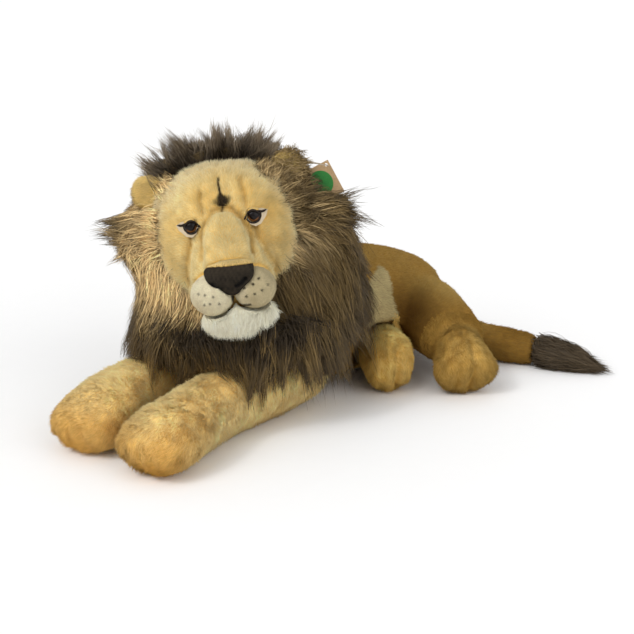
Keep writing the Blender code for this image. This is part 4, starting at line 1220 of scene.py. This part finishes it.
def above_nose(points, normals):
    """Points in front, above the straight upper edge of the suede."""
    at = local(points)
    return (at[:, 2] + 0.0325 + 0.085 * at[:, 0] > 0) & (at[:, 1] < -0.05)


def nose_shape(obj):
    """Fuller at its foot, with two slanting nostrils."""
    co = points_of(obj)
    at = local(co)
    fuller = 0.26 * bell((at[:, 2] + 0.060) / 0.012)
    proud = 0.0065 * bell((at[:, 2] + 0.058) / 0.014) * ramp(np.abs(at[:, 0] + 0.004), 0.004, 0.016)
    front = ramp(-at[:, 1], 0.09, 0.12)
    proud = proud * front
    co = co + np.outer((at[:, 0] + 0.004) * fuller, SIDE) - np.outer(proud, BACK)
    flat = side_and_height(local(co))
    for hole in NOSTRILS:
        dent = bell(polyline_distance(flat, hole) / 2.8) * front
        co = co + np.outer(dent * 0.0045, BACK)
    move_points(obj, co)


nose = dress("nose_suede_skin", ("nose",), "head", "nose", nose_tint, nose_shape)
cover(nose, SUEDE)
pile("nose_top_pile", nose, "head", "plush_tan", "nose_top", face_comb, face_tint, above_nose, 84)


def strip(name, points, radius, taper=True):
    """A thin cord of dark thread laid through points."""
    curve = bpy.data.curves.new(name, "CURVE")
    curve.dimensions = "3D"
    curve.bevel_depth = radius
    curve.bevel_resolution = 2
    curve.use_fill_caps = True
    spline = curve.splines.new("POLY")
    spline.points.add(len(points) - 1)
    for k, (point, place) in enumerate(zip(spline.points, points)):
        point.co = (*place, 1)
        if taper:
            point.radius = max(0.25, math.sin(math.pi * (k + 0.5) / len(points)))
    obj = add_object(name, curve)
    curve.materials.append(THREAD)
    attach(obj, "head")


HEAD_TREE = tree_of(head_skin)


def on_face(x, z, proud, tree=HEAD_TREE):
    """The point of the face at a side and height in millimetres."""
    way = HEAD.to_3x3() @ Vector((0, 1, 0))
    place, _, _, _ = tree.ray_cast(HEAD @ Vector((x / MM, -0.30, z / MM)), way)
    return None if place is None else place - way * proud


# Eyes: a dome, a plush lid over its top, dark rims, and felt at the outer corner
LID_EDGE = 0.0078
LID_SLANT = 0.10


def make_dome(node, place, out):
    """A black dome with a thin amber ring low in it."""
    dome = form(node + "_dome", (node,), "eye")
    at = local(points_of(dome)) - place
    radius = np.hypot(at[:, 0], at[:, 2])
    ring = ramp(radius, 0.0064, 0.0070) * (1 - ramp(radius, 0.0086, 0.0092))
    low = ramp(-at[:, 2] - 0.25 * out * at[:, 0], 0.000, 0.006)
    paint(dome, mix(EYE_BLACK, AMBER, ring * low))
    cover(dome, GLOSS)
    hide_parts(node)
    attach(dome, "head")


def make_lid(node, place, half, out):
    """The upper part of a ball round the dome, with its own pile."""
    ball = bmesh.new()
    bmesh.ops.create_uvsphere(ball, u_segments=40, v_segments=28, radius=1)
    ball.transform(Matrix.Diagonal((*half, 1)))
    whole = [*ball.verts, *ball.edges, *ball.faces]
    cut_at, cut_normal = (0, 0, LID_EDGE), (LID_SLANT * out, 0.0, 1)
    bmesh.ops.bisect_plane(ball, geom=whole, plane_co=cut_at, plane_no=cut_normal, clear_inner=True)
    bmesh.ops.holes_fill(ball, edges=[e for e in ball.edges if e.is_boundary])
    ball.transform(HEAD @ Matrix.Translation(place))
    lid = from_bmesh(node + "_lid", ball)
    lid.data.shade_smooth()
    back(lid, face_tint)
    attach(lid, "head")

    def on_lid(points, normals):
        at = local(points) - place
        return (at[:, 2] + LID_SLANT * out * at[:, 0] > 0.0084) & (at[:, 1] < 0.002)

    comb = towards(SIDE * out * 0.8 + CROWN * 0.7)
    pile(node + "_lid_pile", lid, "head", "plush_tan", "lid", comb, face_tint, on_lid, 83)


def make_liner(node, place, half, out):
    """Thread along the lid's edge."""
    line = []
    for u in np.linspace(-11.4, 11.8, 24):
        x, z = out * u / MM, (8.3 - 0.9 * u / 10 - 0.058 * u * u) / MM
        depth = half[1] * math.sqrt(max(0.05, 1 - (x / half[0]) ** 2 - (z / half[2]) ** 2)) + 0.0001
        line.append(HEAD @ Vector((place[0] + x, place[1] - depth, place[2] + z)))
    strip(node + "_liner", line, 0.0019)


def make_rims(node, place, out, felt):
    """Thread round the felt: sides and heights in eye radii, how proud it lies, its radius, and its taper."""
    turns = np.linspace(math.radians(195), math.radians(375), 16)
    for part, line, proud, radius, taper in (
        ("_corner", [(0.90, 0.55), (1.20, 0.32), (1.55, 0.34), (1.95, 0.46)], 0.0008, 0.0021, True),
        ("_inner", [(-0.98, 0.20), (-1.20, -0.10), (-1.40, -0.35)], 0.0008, 0.0017, True),
        ("_rim", [(1.05 * math.cos(a), 1.05 * math.sin(a)) for a in turns], 0.0006, 0.0014, False),
    ):
        spots = [(place[0] * MM + out * x * 10.5, place[2] * MM + z * 10.5) for x, z in line]
        found = [on_face(*spot, proud, felt) or on_face(*spot, 0.003) for spot in spots]
        strip(node + part, [spot for spot in found if spot is not None], radius, taper)


for label, out in SIDES:
    node = "eye_" + label
    co = local(points_of(NODES[node]))
    front = co[:, 1].min()
    place = co[co[:, 1] < front + 0.0075].mean(0)
    half = np.array((0.0118, place[1] - front + 0.0009, 0.0114))
    felt = NODES["eye_felt_" + label]
    make_dome(node, place, out)
    make_lid(node, place, half, out)
    make_liner(node, place, half, out)
    make_rims(node, place, out, tree_of(felt))
    cover(felt, FELT)
    cover(NODES["eye_washer_" + label], WASHER)

# Hang tag: kraft card with a plain round print
cover(NODES["hang_tag"], KRAFT)
cover(NODES["tag_loop"], NYLON)
PRINT_RADIUS = 0.0205
TAG_AT = (0.734 * 0.234, 0.20 * 0.205, 0.310 * 0.250)
PRINT_AT = (0.0220, -0.00048, -0.0220)
TAG = HEAD @ Matrix.Translation(TAG_AT) @ Matrix.Rotation(math.radians(72), 4, "Y")
disc_mesh = bmesh.new()
bmesh.ops.create_cone(
    disc_mesh, cap_ends=True, segments=48, radius1=PRINT_RADIUS, radius2=PRINT_RADIUS, depth=0.0003
)
disc_mesh.transform(TAG @ Matrix.Translation(PRINT_AT) @ Matrix.Rotation(math.pi / 2, 4, "X"))
disc = from_bmesh("tag_print", disc_mesh)
disc.data.materials.append(PRINT)
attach(disc, "tag")

# Floor, light and camera
FLOOR_HALF = 14
corners = [(x * FLOOR_HALF, y * FLOOR_HALF, 0) for x, y in ((-1, -1), (1, -1), (1, 1), (-1, 1))]
floor_mesh = bpy.data.meshes.new("floor")
floor_mesh.from_pydata(corners, [], [(0, 1, 2, 3)])
floor = add_object("floor", floor_mesh)
floor_mesh.materials.append(
    material("floor_paper", (0.98, 0.98, 0.98), grain=0.004, scale=40, bump=0, rough=0.9)
)

CAMERA_AZIMUTH = 40
CAMERA_ELEVATION = 18
CAMERA_DISTANCE = 2.6
AIM = Vector((0.087, -0.111, 0.145))
PHOTO_WIDTH = 634
FOCAL_PIXELS = 1612
SENSOR = 36


def way_from(azimuth, elevation):
    """The way to a lamp or camera, its azimuth measured from the front to the right."""
    a, e = math.radians(azimuth), math.radians(elevation)
    return Vector((math.sin(a) * math.cos(e), -math.cos(a) * math.cos(e), math.sin(e)))


def lamp(name, azimuth, elevation, energy, angle):
    """A soft far lamp, its azimuth measured from the camera's, to the camera's right."""
    light = bpy.data.lights.new(name, "SUN")
    light.energy = energy
    light.angle = math.radians(angle)
    way = way_from(CAMERA_AZIMUTH + azimuth, elevation)
    add_object(name, light).rotation_euler = way.to_track_quat("Z", "Y").to_euler()


lamp("key", -43, 42, 1.25, 45)
lamp("key_core", -45, 44, 0.45, 10)
lamp("fill", 46, 22, 0.84, 60)
world = bpy.data.worlds.new("studio")
bpy.context.scene.world = world
world.use_nodes = True
sky = world.node_tree.nodes["Background"]
sky.inputs["Color"].default_value = (1, 1, 1, 1)
sky.inputs["Strength"].default_value = 0.60

camera_data = bpy.data.cameras.new("camera")
camera_data.sensor_width = SENSOR
camera_data.lens = FOCAL_PIXELS / PHOTO_WIDTH * SENSOR
camera_data.clip_end = 60
camera = add_object("camera", camera_data)
away = way_from(CAMERA_AZIMUTH, CAMERA_ELEVATION)
camera.location = AIM + away * CAMERA_DISTANCE
camera.rotation_euler = away.to_track_quat("Z", "Y").to_euler()
bpy.context.scene.camera = camera
bpy.context.scene.view_settings.view_transform = "Standard"

bpy.data.objects.remove(shell)
